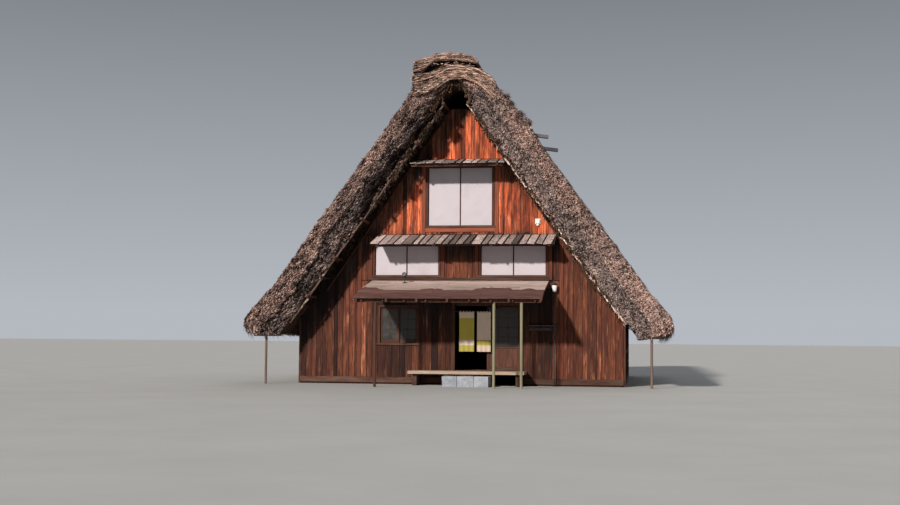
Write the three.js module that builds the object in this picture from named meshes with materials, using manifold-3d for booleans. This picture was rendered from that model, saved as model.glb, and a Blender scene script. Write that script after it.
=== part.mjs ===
// A steep thatched farmhouse of the "praying hands" kind, seen from its front gable.
// Millimetres, +X to the right of the front gable, +Y into the house, +Z up, ground at z = 0.

import * as THREE from 'three';
import { mergeVertices } from 'three/addons/utils/BufferGeometryUtils.js';
import Module from 'manifold-3d';

// Driving dimensions

const KEN = 1820;
const GAP = 0.3;
const HOUSE_WIDTH = 5 * KEN;
const HOUSE_LENGTH = 6 * KEN;
const WALL = 120;
const VERGE_OVERHANG = 1200;

// Thatch, measured on the gable from the centre line outwards
const INNER_APEX_Z = 8300;
const INNER_KNEE = [4300, 2240];
const INNER_FOOT = [4960, 1370];
const CROWN_Z = 8430;
const CROWN_BEND = [600, 8350];
const OUTER_SHOULDER = [1250, 8062];
const OUTER_KNEE = [5130, 2670];
const OUTER_FLARE = [5720, 1960];
const EAVE_TIP = [5890, 1640];
const EAVE_FOOT = [5800, 1470];
const VERGE_BEVEL = 260;
const LAYER_OVERLAP = 30;

const BEVEL_SHARE = 0.98;

// How far pieces of one body sink into each other where they are joined: timbers, and panes or rails
const FUSE = 4;
const SINK = 1;
const MERGE_DISTANCE = 1e-3;

// Ridge covering: the tops of its two layers, from the centre line outwards
const CAP_LOWER_TOP = [[0, 8745], [550, 8700], [1150, 8540], [1270, 8430]];
const CAP_UPPER_TOP = [[0, 9140], [480, 9080], [880, 8940], [1000, 8800]];
const CAP_PROUD = 60;

// Levels of the floors and of the four rows of the gable
const FLOOR_LEVEL = 400;
const FLOOR_THICKNESS = 100;
const MIDDLE_ROW_Z = 2910;
const UPPER_ROW_Z = 4200;
const GABLE_TOP_ROW_Z = 6330;
const GABLE_BOARDS_TOP_Z = 7770;
const GABLE_BOARDS_TOP_HALF = 250;

// Windows: the white screens' edges, and the frame round them
const FRAME_BAR = 60;
const FRAME_PROUD = 30;
const SCREEN_THICKNESS = 24;
const MULLION_HALF = 16;
const UPPER_WINDOW = { x0: -910, x1: 910, z0: 4450, z1: 6100 };
const RIGHT_WINDOW = { x0: 600, x1: 2420, z0: 3050, z1: 3890 };
const LEFT_WINDOW = { x0: -2420, x1: -600, z0: 3050, z1: 3890 };
const GROUND_WINDOW = { x0: -2250, x1: -1200, z0: 1150, z1: 2150 };

// Pent roofs: their ends, height at the wall, reach from it and drop
const UPPER_PENT = { x0: -1340, x1: 1340, z: 6330, reach: 900, drop: 210 };
const MIDDLE_PENT = { x0: -2450, x1: 2780, z: 4200, reach: 950, drop: 320 };
const PENT_THICKNESS = 35;
const PENT_BEAM = 70;
const PENT_ARM = 45;
const PENT_BRACKET_INSET = 210;

// Awning over the entrance
const AWNING_HALF = 2500;
const AWNING_TOP_Z = 2900;
const AWNING_SPLIT = { y: -1750, z: 2560 };
const AWNING_FRONT = { y: -2400, z: 2340 };
const AWNING_THICKNESS = 35;
const AWNING_LAP = 110;
const AWNING_BEAM = { y: -2150, width: 70, depth: 98 };
const RAFTER_DEPTH = 80;
const RAFTER_WIDTH = 60;
const RAFTER_WALL_GAP = 10;
const RAFTER_NOTCH = 2;
const RAFTER_FRONT_GAP = 70;
const RAFTERS = 7;
const LEDGER = { x0: -2600, x1: 2700, depth: 90, drop: 150 };
const POST_X = 1940;
const MIDDLE_POST_X = 1220;
const POST_RADIUS = 38;

// Entrance
const DOOR_X0 = -120;
const DOOR_X1 = DOOR_X0 + KEN;
const DOOR_HEAD_Z = 2200;
const JAMB = 100;
const JAMB_PROUD = 40;
const LEAF_WIDTH = 915;
const LEAF_THICKNESS = 35;
const LEAF_HEAD_ROOM = 12;
const SLIDING_LEAF_Y = 15;
const FIXED_LEAF_Y = 60;
const LEAF_CLEARANCE = 5;
const RAIL_HEIGHT = 8;
const RAIL_WIDTH = 12;
const STILE = 55;
const WAIST_SHARE = 0.36;
const PANE_THICKNESS = 8;
const NOREN_ROD = { y: -110, z: 2040, radius: 14, x0: -150, x1: 990 };
const NOREN_LENGTH = 1095;
const NOREN_THICKNESS = 24;
const NOREN_LEFT = [15, 435];
const NOREN_RIGHT = [515, 900];
const DECK = { x0: -1300, x1: 1900, front: -900, thickness: 80, bearer: 120, bearers: 4 };
const STEP = { x0: -250, x1: 1000, front: -1500, top: 280 };

// Small things
const VERGE_RAFTER = { y: -900, radius: 60, footZ: 1700, headX: 80 };
const ROOF_POLES = [
  { name: 'roof_pole_upper', z: 6870, y: -700 },
  { name: 'roof_pole_lower', z: 6500, y: -700 },
];
const ROOF_POLE = { radius: 38, inside: 300, outside: 420, droop: 0.16 };
const EAVE_POST = { x: 5300, y: -880, radius: 35, beamX0: 4900, beamX1: 5650, beam: 55 };
const WALL_LAMP = { x: 2190, z: 4560, width: 150, height: 150, depth: 90, bulb: 42 };
const SPOTLIGHT = {
  x: -1480, y: -420, plate: 60, plateThickness: 15, stem: 150, stemRadius: 15,
  rear: 46, face: 62, length: 190, tilt: 0.6,
};
const LAMP_POLE = { x: 2670, radius: 16, height: 2600, headRadius: 62, headHeight: 215 };

// The house is built with its front wall on y = 0, then moved so that the origin is the middle of its length.
const FRONT_Y = AWNING_FRONT.y;
const BACK_Y = HOUSE_LENGTH + VERGE_OVERHANG + CAP_PROUD;
const house = new THREE.Group();
house.position.y = -(FRONT_Y + BACK_Y) / 2;

// Materials

const finish = (color, roughness, metalness = 0) =>
  new THREE.MeshStandardMaterial({ color, roughness, metalness });
const thatch = finish(0x8a7a70, 1.0);
const ridgeStraw = finish(0xa08a7c, 1.0);
const redBoards = finish(0x9c4a2c, 0.85);
const darkTimber = finish(0x4a3226, 0.85);
const greyBoards = finish(0x948680, 0.95);
const awningBoards = finish(0xb49c92, 0.95);
const awningEdge = finish(0x6c4a42, 0.9);
const paperScreen = finish(0xe2dcde, 0.9);
const floorTimber = finish(0x8a6a4c, 0.8);
const bamboo = finish(0x9aa274, 0.6);
const palePole = finish(0xa8988a, 0.8);
const stone = finish(0x8c8e92, 0.95);
const oliveCloth = finish(0xa69a40, 0.95);
const beigeCloth = finish(0xd8c4ac, 0.95);
const creamPaint = finish(0xe4dcc8, 0.6);
const greyMetal = finish(0x70706e, 0.5, 0.6);

// Booleans

const wasm = await Module();
wasm.setup();

const toSolid = (geometry) => {
  const bare = geometry.clone();
  bare.deleteAttribute('normal');
  bare.deleteAttribute('uv');
  const merged = mergeVertices(bare, MERGE_DISTANCE);
  return new wasm.Manifold(new wasm.Mesh({
    numProp: 3,
    vertProperties: new Float32Array(merged.attributes.position.array),
    triVerts: new Uint32Array(merged.index.array),
  }));
};

const toGeometry = (solid) => {
  const mesh = solid.getMesh();
  const geometry = new THREE.BufferGeometry();
  geometry.setAttribute('position', new THREE.BufferAttribute(new Float32Array(mesh.vertProperties), 3));
  geometry.setIndex(new THREE.BufferAttribute(new Uint32Array(mesh.triVerts), 1));
  return geometry;
};

const join = (...geometries) => toGeometry(geometries.map(toSolid).reduce((a, b) => a.add(b)));
const cut = (geometry, ...tools) =>
  toGeometry(tools.map(toSolid).reduce((a, b) => a.subtract(b), toSolid(geometry)));

// Shapes

const outlineShape = (points, holes = []) => {
  const shape = new THREE.Shape(points.map(([a, b]) => new THREE.Vector2(a, b)));
  for (const hole of holes) shape.holes.push(new THREE.Path(hole.map(([a, b]) => new THREE.Vector2(a, b))));
  return shape;
};

const extrude = (points, depth, holes) =>
  new THREE.ExtrudeGeometry(outlineShape(points, holes), { depth, bevelEnabled: false });

// An outline in x and z, carried along y
const alongY = (points, y0, y1, holes) =>
  extrude(points, y1 - y0, holes).rotateX(Math.PI / 2).translate(0, y1, 0);

// An outline in y and z, carried along x
const SIDE_ON = new THREE.Matrix4().makeBasis(
  new THREE.Vector3(0, 1, 0), new THREE.Vector3(0, 0, 1), new THREE.Vector3(1, 0, 0));
const alongX = (points, x0, x1) => extrude(points, x1 - x0).applyMatrix4(SIDE_ON).translate(x0, 0, 0);

const block = (x0, x1, y0, y1, z0, z1) =>
  new THREE.BoxGeometry(x1 - x0, y1 - y0, z1 - z0).translate((x0 + x1) / 2, (y0 + y1) / 2, (z0 + z1) / 2);

// A round bar between two points
const BAR_SIDES = 10;
const ROD_SIDES = 8;
const LAMP_SIDES = 14;
const bar = (from, to, radius, sides = BAR_SIDES) => {
  const a = new THREE.Vector3(...from);
  const b = new THREE.Vector3(...to);
  const turn = new THREE.Quaternion().setFromUnitVectors(
    new THREE.Vector3(0, 1, 0), b.clone().sub(a).normalize());
  const middle = a.clone().add(b).multiplyScalar(0.5);
  return new THREE.CylinderGeometry(radius, radius, a.distanceTo(b), sides)
    .applyQuaternion(turn).translate(middle.x, middle.y, middle.z);
};

const rectangle = ({ x0, x1, z0, z1 }, grow = 0) =>
  [[x0 - grow, z0 - grow], [x1 + grow, z0 - grow], [x1 + grow, z1 + grow], [x0 - grow, z1 + grow]];

const mirrored = (points) => points.map(([x, z]) => [-x, z]).reverse();

const put = (name, geometry, material, parent = house) => {
  const mesh = new THREE.Mesh(geometry, material);
  mesh.name = name;
  parent.add(mesh);
  return mesh;
};

// The thatch's inner face: half width at a height

const innerX = (z) => {
  const [kneeX, kneeZ] = INNER_KNEE;
  const [footX, footZ] = INNER_FOOT;
  if (z >= kneeZ) return kneeX * (INNER_APEX_Z - z) / (INNER_APEX_Z - kneeZ);
  return kneeX + (footX - kneeX) * (kneeZ - z) / (kneeZ - footZ);
};
const insideX = (z) => innerX(z) - 2 * GAP;

// Thatch: an outer layer with square ends, and an inner layer whose ends slope back from the verge

function thatchSlope(side) {
  const y0 = -VERGE_OVERHANG;
  const y1 = HOUSE_LENGTH + VERGE_OVERHANG;
  const middle = (a, b, t = 0.5) => [a[0] + (b[0] - a[0]) * t, a[1] + (b[1] - a[1]) * t];
  const innerApex = [GAP / 2, INNER_APEX_Z];
  const crown = [GAP / 2, CROWN_Z];
  const kneeMiddle = middle(INNER_KNEE, OUTER_KNEE);
  const footMiddle = middle(INNER_FOOT, EAVE_FOOT);
  const whole = [innerApex, INNER_KNEE, INNER_FOOT, EAVE_FOOT, EAVE_TIP, OUTER_FLARE, OUTER_KNEE,
    OUTER_SHOULDER, CROWN_BEND, crown];
  const outer = [CROWN_BEND, kneeMiddle, footMiddle, EAVE_FOOT, EAVE_TIP, OUTER_FLARE, OUTER_KNEE,
    OUTER_SHOULDER];
  const full = alongY(whole, y0 + VERGE_BEVEL, y1 - VERGE_BEVEL);
  const outerLayer = alongY(outer, y0, y1);
  const inner = [innerApex, INNER_KNEE, INNER_FOOT, footMiddle, kneeMiddle, CROWN_BEND, crown];
  const sloped = new Map([[innerApex, 1], [INNER_KNEE, 1], [INNER_FOOT, 1], [crown, 1]]);
  const bevelled = (yFrom, yTo) => {
    const geometry = alongY(inner, Math.min(yFrom, yTo), Math.max(yFrom, yTo));
    const position = geometry.attributes.position;
    for (let i = 0; i < position.count; i++) {
      if (Math.abs(position.getY(i) - yFrom) > 1) continue;
      for (const [point, share] of sloped) {
        const near = Math.hypot(position.getX(i) - point[0], position.getZ(i) - point[1]) < 1;
        if (near) position.setY(i, yFrom + (yTo - yFrom) * share * BEVEL_SHARE);
      }
    }
    return geometry;
  };
  const front = bevelled(y0, y0 + VERGE_BEVEL + LAYER_OVERLAP);
  const back = bevelled(y1, y1 - VERGE_BEVEL - LAYER_OVERLAP);
  let geometry = join(full, outerLayer, front, back);
  if (side < 0) geometry = toGeometry(toSolid(geometry).mirror([1, 0, 0]));
  return geometry;
}

const outerSlope = (OUTER_SHOULDER[1] - OUTER_KNEE[1]) / (OUTER_KNEE[0] - OUTER_SHOULDER[0]);
const outerX = (z) => OUTER_SHOULDER[0] + (OUTER_SHOULDER[1] - z) / outerSlope;

const roofPole = ({ y, z }, radius) => bar(
  [outerX(z) - ROOF_POLE.inside, y, z + ROOF_POLE.inside * ROOF_POLE.droop],
  [outerX(z) + ROOF_POLE.outside, y, z - ROOF_POLE.outside * ROOF_POLE.droop], radius);

function addThatch() {
  put('thatch_left_slope', thatchSlope(-1), thatch);
  const pockets = ROOF_POLES.map((pole) => roofPole(pole, ROOF_POLE.radius + GAP));
  const lengthened = ROOF_POLES.map(({ y, z }) => bar(
    [outerX(z) - ROOF_POLE.inside - GAP, y, z + (ROOF_POLE.inside + GAP) * ROOF_POLE.droop],
    [outerX(z), y, z], ROOF_POLE.radius + GAP));
  put('thatch_right_slope', cut(thatchSlope(1), ...pockets, ...lengthened), thatch);
  for (const pole of ROOF_POLES) put(pole.name, roofPole(pole, ROOF_POLE.radius), darkTimber);
}

function addRidge() {
  const y0 = -VERGE_OVERHANG - CAP_PROUD;
  const y1 = HOUSE_LENGTH + VERGE_OVERHANG + CAP_PROUD;
  const over = 2 * GAP;
  const lowerHalf = CAP_LOWER_TOP.at(-1)[0];
  const foot = [lowerHalf, OUTER_SHOULDER[1] - (lowerHalf - OUTER_SHOULDER[0]) * outerSlope + over];
  const lowerUnder = [[0, CROWN_Z + over], [CROWN_BEND[0], CROWN_BEND[1] + over],
    [OUTER_SHOULDER[0], OUTER_SHOULDER[1] + over], foot];
  const ring = (top, under) => {
    const right = [...top, ...[...under].reverse()];
    const leftTop = top.slice(1).map(([x, z]) => [-x, z]).reverse();
    const leftUnder = under.slice(1).map(([x, z]) => [-x, z]);
    return [...leftTop, ...right, ...leftUnder];
  };
  put('ridge_cap_lower', alongY(ring(CAP_LOWER_TOP, lowerUnder), y0, y1), ridgeStraw);
  const [crown, [bendX, bendZ], [edgeX, edgeZ]] = CAP_LOWER_TOP;
  const upperHalf = CAP_UPPER_TOP.at(-1)[0];
  const lapZ = bendZ + (edgeZ - bendZ) * (upperHalf - bendX) / (edgeX - bendX);
  const upperUnder = [crown, [bendX, bendZ], [upperHalf, lapZ]].map(([x, z]) => [x, z + over]);
  put('ridge_cap_upper', alongY(ring(CAP_UPPER_TOP, upperUnder), y0, y1), ridgeStraw);
}

// Verge rafters: one pole under each inner edge of the thatch, front and back

function addVergeRafters() {
  const [kneeX, kneeZ] = INNER_KNEE;
  const length = Math.hypot(kneeX, INNER_APEX_Z - kneeZ);
  const flat = VERGE_RAFTER.radius * Math.cos(Math.PI / BAR_SIDES);
  const off = (flat + 2 * GAP) * length / (INNER_APEX_Z - kneeZ);
  const x = (z) => kneeX * (INNER_APEX_Z - z) / (INNER_APEX_Z - kneeZ) - off;
  const headZ = INNER_APEX_Z - (VERGE_RAFTER.headX + off) * (INNER_APEX_Z - kneeZ) / kneeX;
  for (const [end, y] of [['front', VERGE_RAFTER.y], ['back', HOUSE_LENGTH - VERGE_RAFTER.y]]) {
    for (const [side, sign] of [['left', -1], ['right', 1]]) {
      const pole = bar([sign * x(VERGE_RAFTER.footZ), y, VERGE_RAFTER.footZ],
        [sign * VERGE_RAFTER.headX, y, headZ], VERGE_RAFTER.radius);
      put(`verge_rafter_${end}_${side}`, pole, palePole);
    }
  }
}

// Walls

const row = (z0, z1) => [[-insideX(z0), z0], [insideX(z0), z0], [insideX(z1), z1], [-insideX(z1), z1]];

function gableTop(y0, y1) {
  const z0 = GABLE_TOP_ROW_Z + GAP;
  return alongY([[-insideX(z0), z0], [insideX(z0), z0],
    [GABLE_BOARDS_TOP_HALF, GABLE_BOARDS_TOP_Z], [-GABLE_BOARDS_TOP_HALF, GABLE_BOARDS_TOP_Z]], y0, y1);
}

// A hole through a wall for a window and its frame
const windowHole = (window, y0, y1) => alongY(rectangle(window, FRAME_BAR + GAP), y0 - 1, y1 + 1);

const upperRow = (y0, y1) =>
  cut(alongY(row(UPPER_ROW_Z + GAP, GABLE_TOP_ROW_Z), y0, y1), windowHole(UPPER_WINDOW, y0, y1));

const middleRow = (y0, y1) => cut(alongY(row(MIDDLE_ROW_Z + GAP, UPPER_ROW_Z), y0, y1),
  windowHole(LEFT_WINDOW, y0, y1), windowHole(RIGHT_WINDOW, y0, y1));

// Half of the ground row, from its side post to the edge at x, on the right of the centre line
const groundHalf = (x) => {
  const half = HOUSE_WIDTH / 2;
  const slope = (INNER_KNEE[1] - INNER_FOOT[1]) / (INNER_FOOT[0] - INNER_KNEE[0]);
  const sideTop = INNER_KNEE[1] - (half - INNER_KNEE[0]) * slope;
  return [[x, 0], [half, 0], [half, sideTop - 2 * GAP], [INNER_KNEE[0], INNER_KNEE[1] - 2 * GAP],
    [insideX(MIDDLE_ROW_Z), MIDDLE_ROW_Z], [x, MIDDLE_ROW_Z]];
};

function addWalls() {
  const front = [0, WALL];
  const back = [HOUSE_LENGTH - WALL, HOUSE_LENGTH];
  put('front_gable_top', gableTop(...front), redBoards);
  put('front_wall_upper', upperRow(...front), redBoards);
  put('front_wall_middle', middleRow(...front), redBoards);
  put('front_wall_right', alongY(groundHalf(DOOR_X1 + JAMB + GAP), ...front), redBoards);
  const left = mirrored(groundHalf(JAMB + GAP - DOOR_X0));
  put('front_wall_left', cut(alongY(left, ...front), windowHole(GROUND_WINDOW, ...front)), redBoards);
  const lintel = block(DOOR_X0 - JAMB, DOOR_X1 + JAMB, ...front, DOOR_HEAD_Z + JAMB + GAP, MIDDLE_ROW_Z);
  put('front_wall_over_door', lintel, redBoards);
  put('back_gable_top', gableTop(...back), redBoards);
  put('back_wall_upper', upperRow(...back), redBoards);
  put('back_wall_middle', middleRow(...back), redBoards);
  const ground = [...groundHalf(0).slice(1, 5), ...mirrored(groundHalf(0).slice(1, 5))];
  put('back_wall_ground', alongY(ground, ...back), redBoards);
  const sideTop = groundHalf(0)[2][1];
  const half = HOUSE_WIDTH / 2;
  for (const [side, x0] of [['left', -half], ['right', half - WALL]]) {
    put(`side_wall_${side}`,
      block(x0, x0 + WALL, WALL + GAP, HOUSE_LENGTH - WALL - GAP, 0, sideTop), redBoards);
  }
}

function addFloors() {
  const y0 = WALL + GAP;
  const y1 = HOUSE_LENGTH - WALL - GAP;
  const half = HOUSE_WIDTH / 2 - WALL - GAP;
  put('ground_floor', block(-half, half, y0, y1, FLOOR_LEVEL - FLOOR_THICKNESS, FLOOR_LEVEL), floorTimber);
  put('middle_floor', alongY(row(MIDDLE_ROW_Z - FLOOR_THICKNESS, MIDDLE_ROW_Z), y0, y1), floorTimber);
  put('upper_floor', alongY(row(UPPER_ROW_Z - FLOOR_THICKNESS, UPPER_ROW_Z), y0, y1), floorTimber);
}

// Windows: a frame round a white screen of two panels with a bar between them

const windowFrame = (window, y0, y1) => alongY(rectangle(window, FRAME_BAR), y0, y1, [rectangle(window)]);

const windowScreen = ({ x0, x1, z0, z1 }, y0, side = -1) => {
  const middle = (x0 + x1) / 2;
  const y1 = y0 + SCREEN_THICKNESS;
  const panel = block(x0 + GAP, x1 - GAP, y0, y1, z0 + GAP, z1 - GAP);
  const mullionY = side < 0 ? [y0 - FRAME_PROUD / 2, y0 + SINK] : [y1 - SINK, y1 + FRAME_PROUD / 2];
  return join(panel, block(middle - MULLION_HALF, middle + MULLION_HALF, ...mullionY, z0 + GAP, z1 - GAP));
};

function addWindows() {
  const places = [['upper', UPPER_WINDOW], ['left', LEFT_WINDOW], ['right', RIGHT_WINDOW]];
  for (const [name, window] of places) {
    put(`window_frame_${name}`, windowFrame(window, -FRAME_PROUD, WALL), darkTimber);
    put(`window_screen_${name}`, windowScreen(window, FRAME_PROUD), paperScreen);
    const y1 = HOUSE_LENGTH + FRAME_PROUD;
    const sash = {
      x0: window.x0 - SINK, x1: window.x1 + SINK, z0: window.z0 - SINK, z1: window.z1 + SINK,
    };
    const screen = windowScreen(sash, HOUSE_LENGTH - 2 * FRAME_PROUD, 1);
    put(`back_window_${name}`, join(windowFrame(window, HOUSE_LENGTH - WALL, y1), screen), paperScreen);
  }
  const { x0, x1, z0, z1 } = GROUND_WINDOW;
  const frame = windowFrame(GROUND_WINDOW, -FRAME_PROUD, WALL);
  const pane = block(x0 - SINK, x1 + SINK, FRAME_PROUD, FRAME_PROUD + PANE_THICKNESS, z0 - SINK, z1 + SINK);
  put('ground_window', join(frame, pane), darkTimber);
}

// Pent roofs: boards on a beam that brackets carry from the wall; front ones face -y, back ones +y

function pentRoof({ x0, x1, z, reach, drop }, brackets) {
  const under = (y) => z - PENT_THICKNESS + y * drop / reach;
  const boards = alongX([[-GAP, z], [-reach, z - drop], [-reach, z - drop - PENT_THICKNESS],
    [-GAP, z - PENT_THICKNESS]], x0, x1);
  const armEnd = PENT_BEAM - reach;
  const beamY = armEnd + PENT_BEAM;
  const beamTop = under(beamY) - PENT_ARM + FUSE;
  const beam = block(x0 + PENT_BEAM, x1 - PENT_BEAM, beamY - PENT_BEAM / 2, beamY + PENT_BEAM / 2,
    beamTop - PENT_BEAM, beamTop);
  const arms = [];
  for (let i = 0; i < brackets; i++) {
    const x = x0 + PENT_BRACKET_INSET + (x1 - x0 - 2 * PENT_BRACKET_INSET) * i / (brackets - 1);
    arms.push(alongX([[-GAP, under(0) + FUSE], [armEnd, under(armEnd) + FUSE],
      [armEnd, under(armEnd) - PENT_ARM], [-GAP, under(0) - PENT_ARM]], x - PENT_BEAM / 2, x + PENT_BEAM / 2));
  }
  return join(boards, beam, ...arms);
}

function addPents() {
  for (const [name, pent, brackets] of [['upper', UPPER_PENT, 2], ['middle', MIDDLE_PENT, 4]]) {
    const geometry = pentRoof(pent, brackets);
    put(`front_pent_${name}`, geometry, greyBoards);
    const back = put(`back_pent_${name}`, geometry.clone(), greyBoards);
    back.rotation.z = Math.PI;
    back.position.y = HOUSE_LENGTH;
  }
}

// Awning: two courses of boards on rafters, a ledger on the wall and a beam on posts

const awningSlope = (AWNING_TOP_Z - AWNING_SPLIT.z) / -AWNING_SPLIT.y;
const awningTop = (y) => AWNING_TOP_Z + y * awningSlope;

function addAwning() {
  const upper = [[-GAP, AWNING_TOP_Z], [AWNING_SPLIT.y, AWNING_SPLIT.z],
    [AWNING_SPLIT.y, AWNING_SPLIT.z - AWNING_THICKNESS], [-GAP, AWNING_TOP_Z - AWNING_THICKNESS]];
  put('awning_roof_upper', alongX(upper, -AWNING_HALF, AWNING_HALF), awningBoards);
  const lapY = AWNING_SPLIT.y + AWNING_LAP;
  const lapZ = awningTop(lapY) - AWNING_THICKNESS - 2 * GAP;
  const lower = [[lapY, lapZ], [AWNING_FRONT.y, AWNING_FRONT.z],
    [AWNING_FRONT.y, AWNING_FRONT.z - AWNING_THICKNESS], [lapY, lapZ - AWNING_THICKNESS]];
  put('awning_roof_lower', alongX(lower, -AWNING_HALF, AWNING_HALF), awningEdge);

  const lowerSlope = (lapZ - AWNING_FRONT.z) / (lapY - AWNING_FRONT.y);
  const lowerUnder = (y) => lapZ - AWNING_THICKNESS + (y - lapY) * lowerSlope - 2 * GAP;
  const upperUnder = (y) => awningTop(y) - AWNING_THICKNESS - 2 * GAP;
  const stepY = lapY + RAFTER_NOTCH;
  const backY = -RAFTER_WALL_GAP;
  const frontY = AWNING_FRONT.y + RAFTER_FRONT_GAP;
  const rafter = [[backY, upperUnder(backY)], [stepY, upperUnder(stepY)], [stepY, lowerUnder(stepY) - SINK],
    [frontY, lowerUnder(frontY)], [frontY, lowerUnder(frontY) - RAFTER_DEPTH],
    [stepY, lowerUnder(stepY) - RAFTER_DEPTH], [backY, upperUnder(backY) - RAFTER_DEPTH]];
  const pieces = [];
  const edge = AWNING_HALF - RAFTER_WIDTH;
  for (let i = 0; i < RAFTERS; i++) {
    const x = -edge + 2 * edge * i / (RAFTERS - 1);
    pieces.push(alongX(rafter, x - RAFTER_WIDTH / 2, x + RAFTER_WIDTH / 2));
  }
  const ledgerTop = upperUnder(-LEDGER.depth);
  pieces.push(block(LEDGER.x0, LEDGER.x1, -LEDGER.depth, -GAP, ledgerTop - LEDGER.drop, ledgerTop));
  const beamTop = lowerUnder(AWNING_BEAM.y) - RAFTER_DEPTH / 2;
  const beamUnder = beamTop - AWNING_BEAM.depth;
  const beamHalf = AWNING_BEAM.width / 2;
  pieces.push(block(-edge, edge, AWNING_BEAM.y - beamHalf, AWNING_BEAM.y + beamHalf, beamUnder, beamTop));
  put('awning_frame', join(...pieces), darkTimber);

  for (const [name, x, material] of [['left', -POST_X, darkTimber], ['middle', MIDDLE_POST_X, bamboo],
    ['right', POST_X, bamboo]]) {
    const post = bar([x, AWNING_BEAM.y, 0], [x, AWNING_BEAM.y, beamUnder - GAP], POST_RADIUS);
    put(`awning_post_${name}`, post, material);
  }
}

// Entrance: a frame with a rod for the curtain, two leaves on rails, a deck and a step

const RAIL_TOP = FLOOR_LEVEL + RAIL_HEIGHT;

const rail = (leafY) => {
  const y = leafY + LEAF_THICKNESS / 2;
  return block(DOOR_X0 - SINK, DOOR_X1 + SINK, y - RAIL_WIDTH / 2, y + RAIL_WIDTH / 2,
    FLOOR_LEVEL - SINK, RAIL_TOP);
};

function entranceFrame() {
  const y0 = -JAMB_PROUD;
  const y1 = WALL;
  const top = DOOR_HEAD_Z + JAMB;
  const parts = [
    block(DOOR_X0 - JAMB, DOOR_X0, y0, y1, 0, top),
    block(DOOR_X1, DOOR_X1 + JAMB, y0, y1, 0, top),
    block(DOOR_X0 - SINK, DOOR_X1 + SINK, y0, y1, DOOR_HEAD_Z, top),
    block(DOOR_X0 - SINK, DOOR_X1 + SINK, y0, y1, FLOOR_LEVEL - FLOOR_THICKNESS, FLOOR_LEVEL),
    rail(SLIDING_LEAF_Y),
    rail(FIXED_LEAF_Y),
  ];
  const { y, z, radius, x0, x1 } = NOREN_ROD;
  for (const x of [x0, x1]) {
    parts.push(block(x - radius, x + radius, y - radius, -JAMB_PROUD + SINK, z - radius, top - JAMB / 2));
  }
  parts.push(bar([x0, y, z], [x1, y, z], radius));
  return join(...parts);
}

function doorLeaf(x0, y0) {
  const z0 = RAIL_TOP + GAP;
  const z1 = DOOR_HEAD_Z - LEAF_HEAD_ROOM;
  const waistZ = z0 + (z1 - z0) * WAIST_SHARE;
  const opening = (low, high) => [[x0 + STILE, low], [x0 + LEAF_WIDTH - STILE, low],
    [x0 + LEAF_WIDTH - STILE, high], [x0 + STILE, high]];
  const outline = [[x0, z0], [x0 + LEAF_WIDTH, z0], [x0 + LEAF_WIDTH, z1], [x0, z1]];
  const frame = alongY(outline, y0, y0 + LEAF_THICKNESS,
    [opening(z0 + 2 * STILE, waistZ), opening(waistZ + STILE, z1 - STILE)]);
  const middle = y0 + LEAF_THICKNESS / 2;
  const pane = block(x0 + STILE / 2, x0 + LEAF_WIDTH - STILE / 2,
    middle - PANE_THICKNESS / 2, middle + PANE_THICKNESS / 2, z0 + STILE, z1 - STILE / 2);
  return join(frame, pane);
}

function addEntrance() {
  put('entrance_frame', entranceFrame(), darkTimber);
  const parkedX = DOOR_X1 - LEAF_CLEARANCE - LEAF_WIDTH;
  put('door_leaf_sliding', doorLeaf(parkedX, SLIDING_LEAF_Y), darkTimber);
  put('door_leaf_fixed', doorLeaf(DOOR_X1 - LEAF_WIDTH - GAP, FIXED_LEAF_Y), darkTimber);

  const norenTop = NOREN_ROD.z - NOREN_ROD.radius - GAP;
  const panels = [['left', NOREN_LEFT, oliveCloth], ['right', NOREN_RIGHT, beigeCloth]];
  for (const [name, [x0, x1], material] of panels) {
    const y = NOREN_ROD.y - NOREN_THICKNESS / 2;
    put(`noren_${name}`, block(x0, x1, y, y + NOREN_THICKNESS, norenTop - NOREN_LENGTH, norenTop), material);
  }

  const { x0, x1, front, thickness, bearer, bearers } = DECK;
  const back = -JAMB_PROUD - GAP;
  const parts = [block(x0, x1, front, back, FLOOR_LEVEL - thickness, FLOOR_LEVEL)];
  for (let i = 0; i < bearers; i++) {
    const x = x0 + bearer + (x1 - x0 - 3 * bearer) * i / (bearers - 1);
    parts.push(block(x, x + bearer, front + bearer, back, 0, FLOOR_LEVEL - thickness + SINK));
  }
  put('entrance_deck', join(...parts), floorTimber);
  put('entrance_step', block(STEP.x0, STEP.x1, STEP.front, front + bearer - GAP, 0, STEP.top), stone);
}

// Lamps and eave posts

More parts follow.
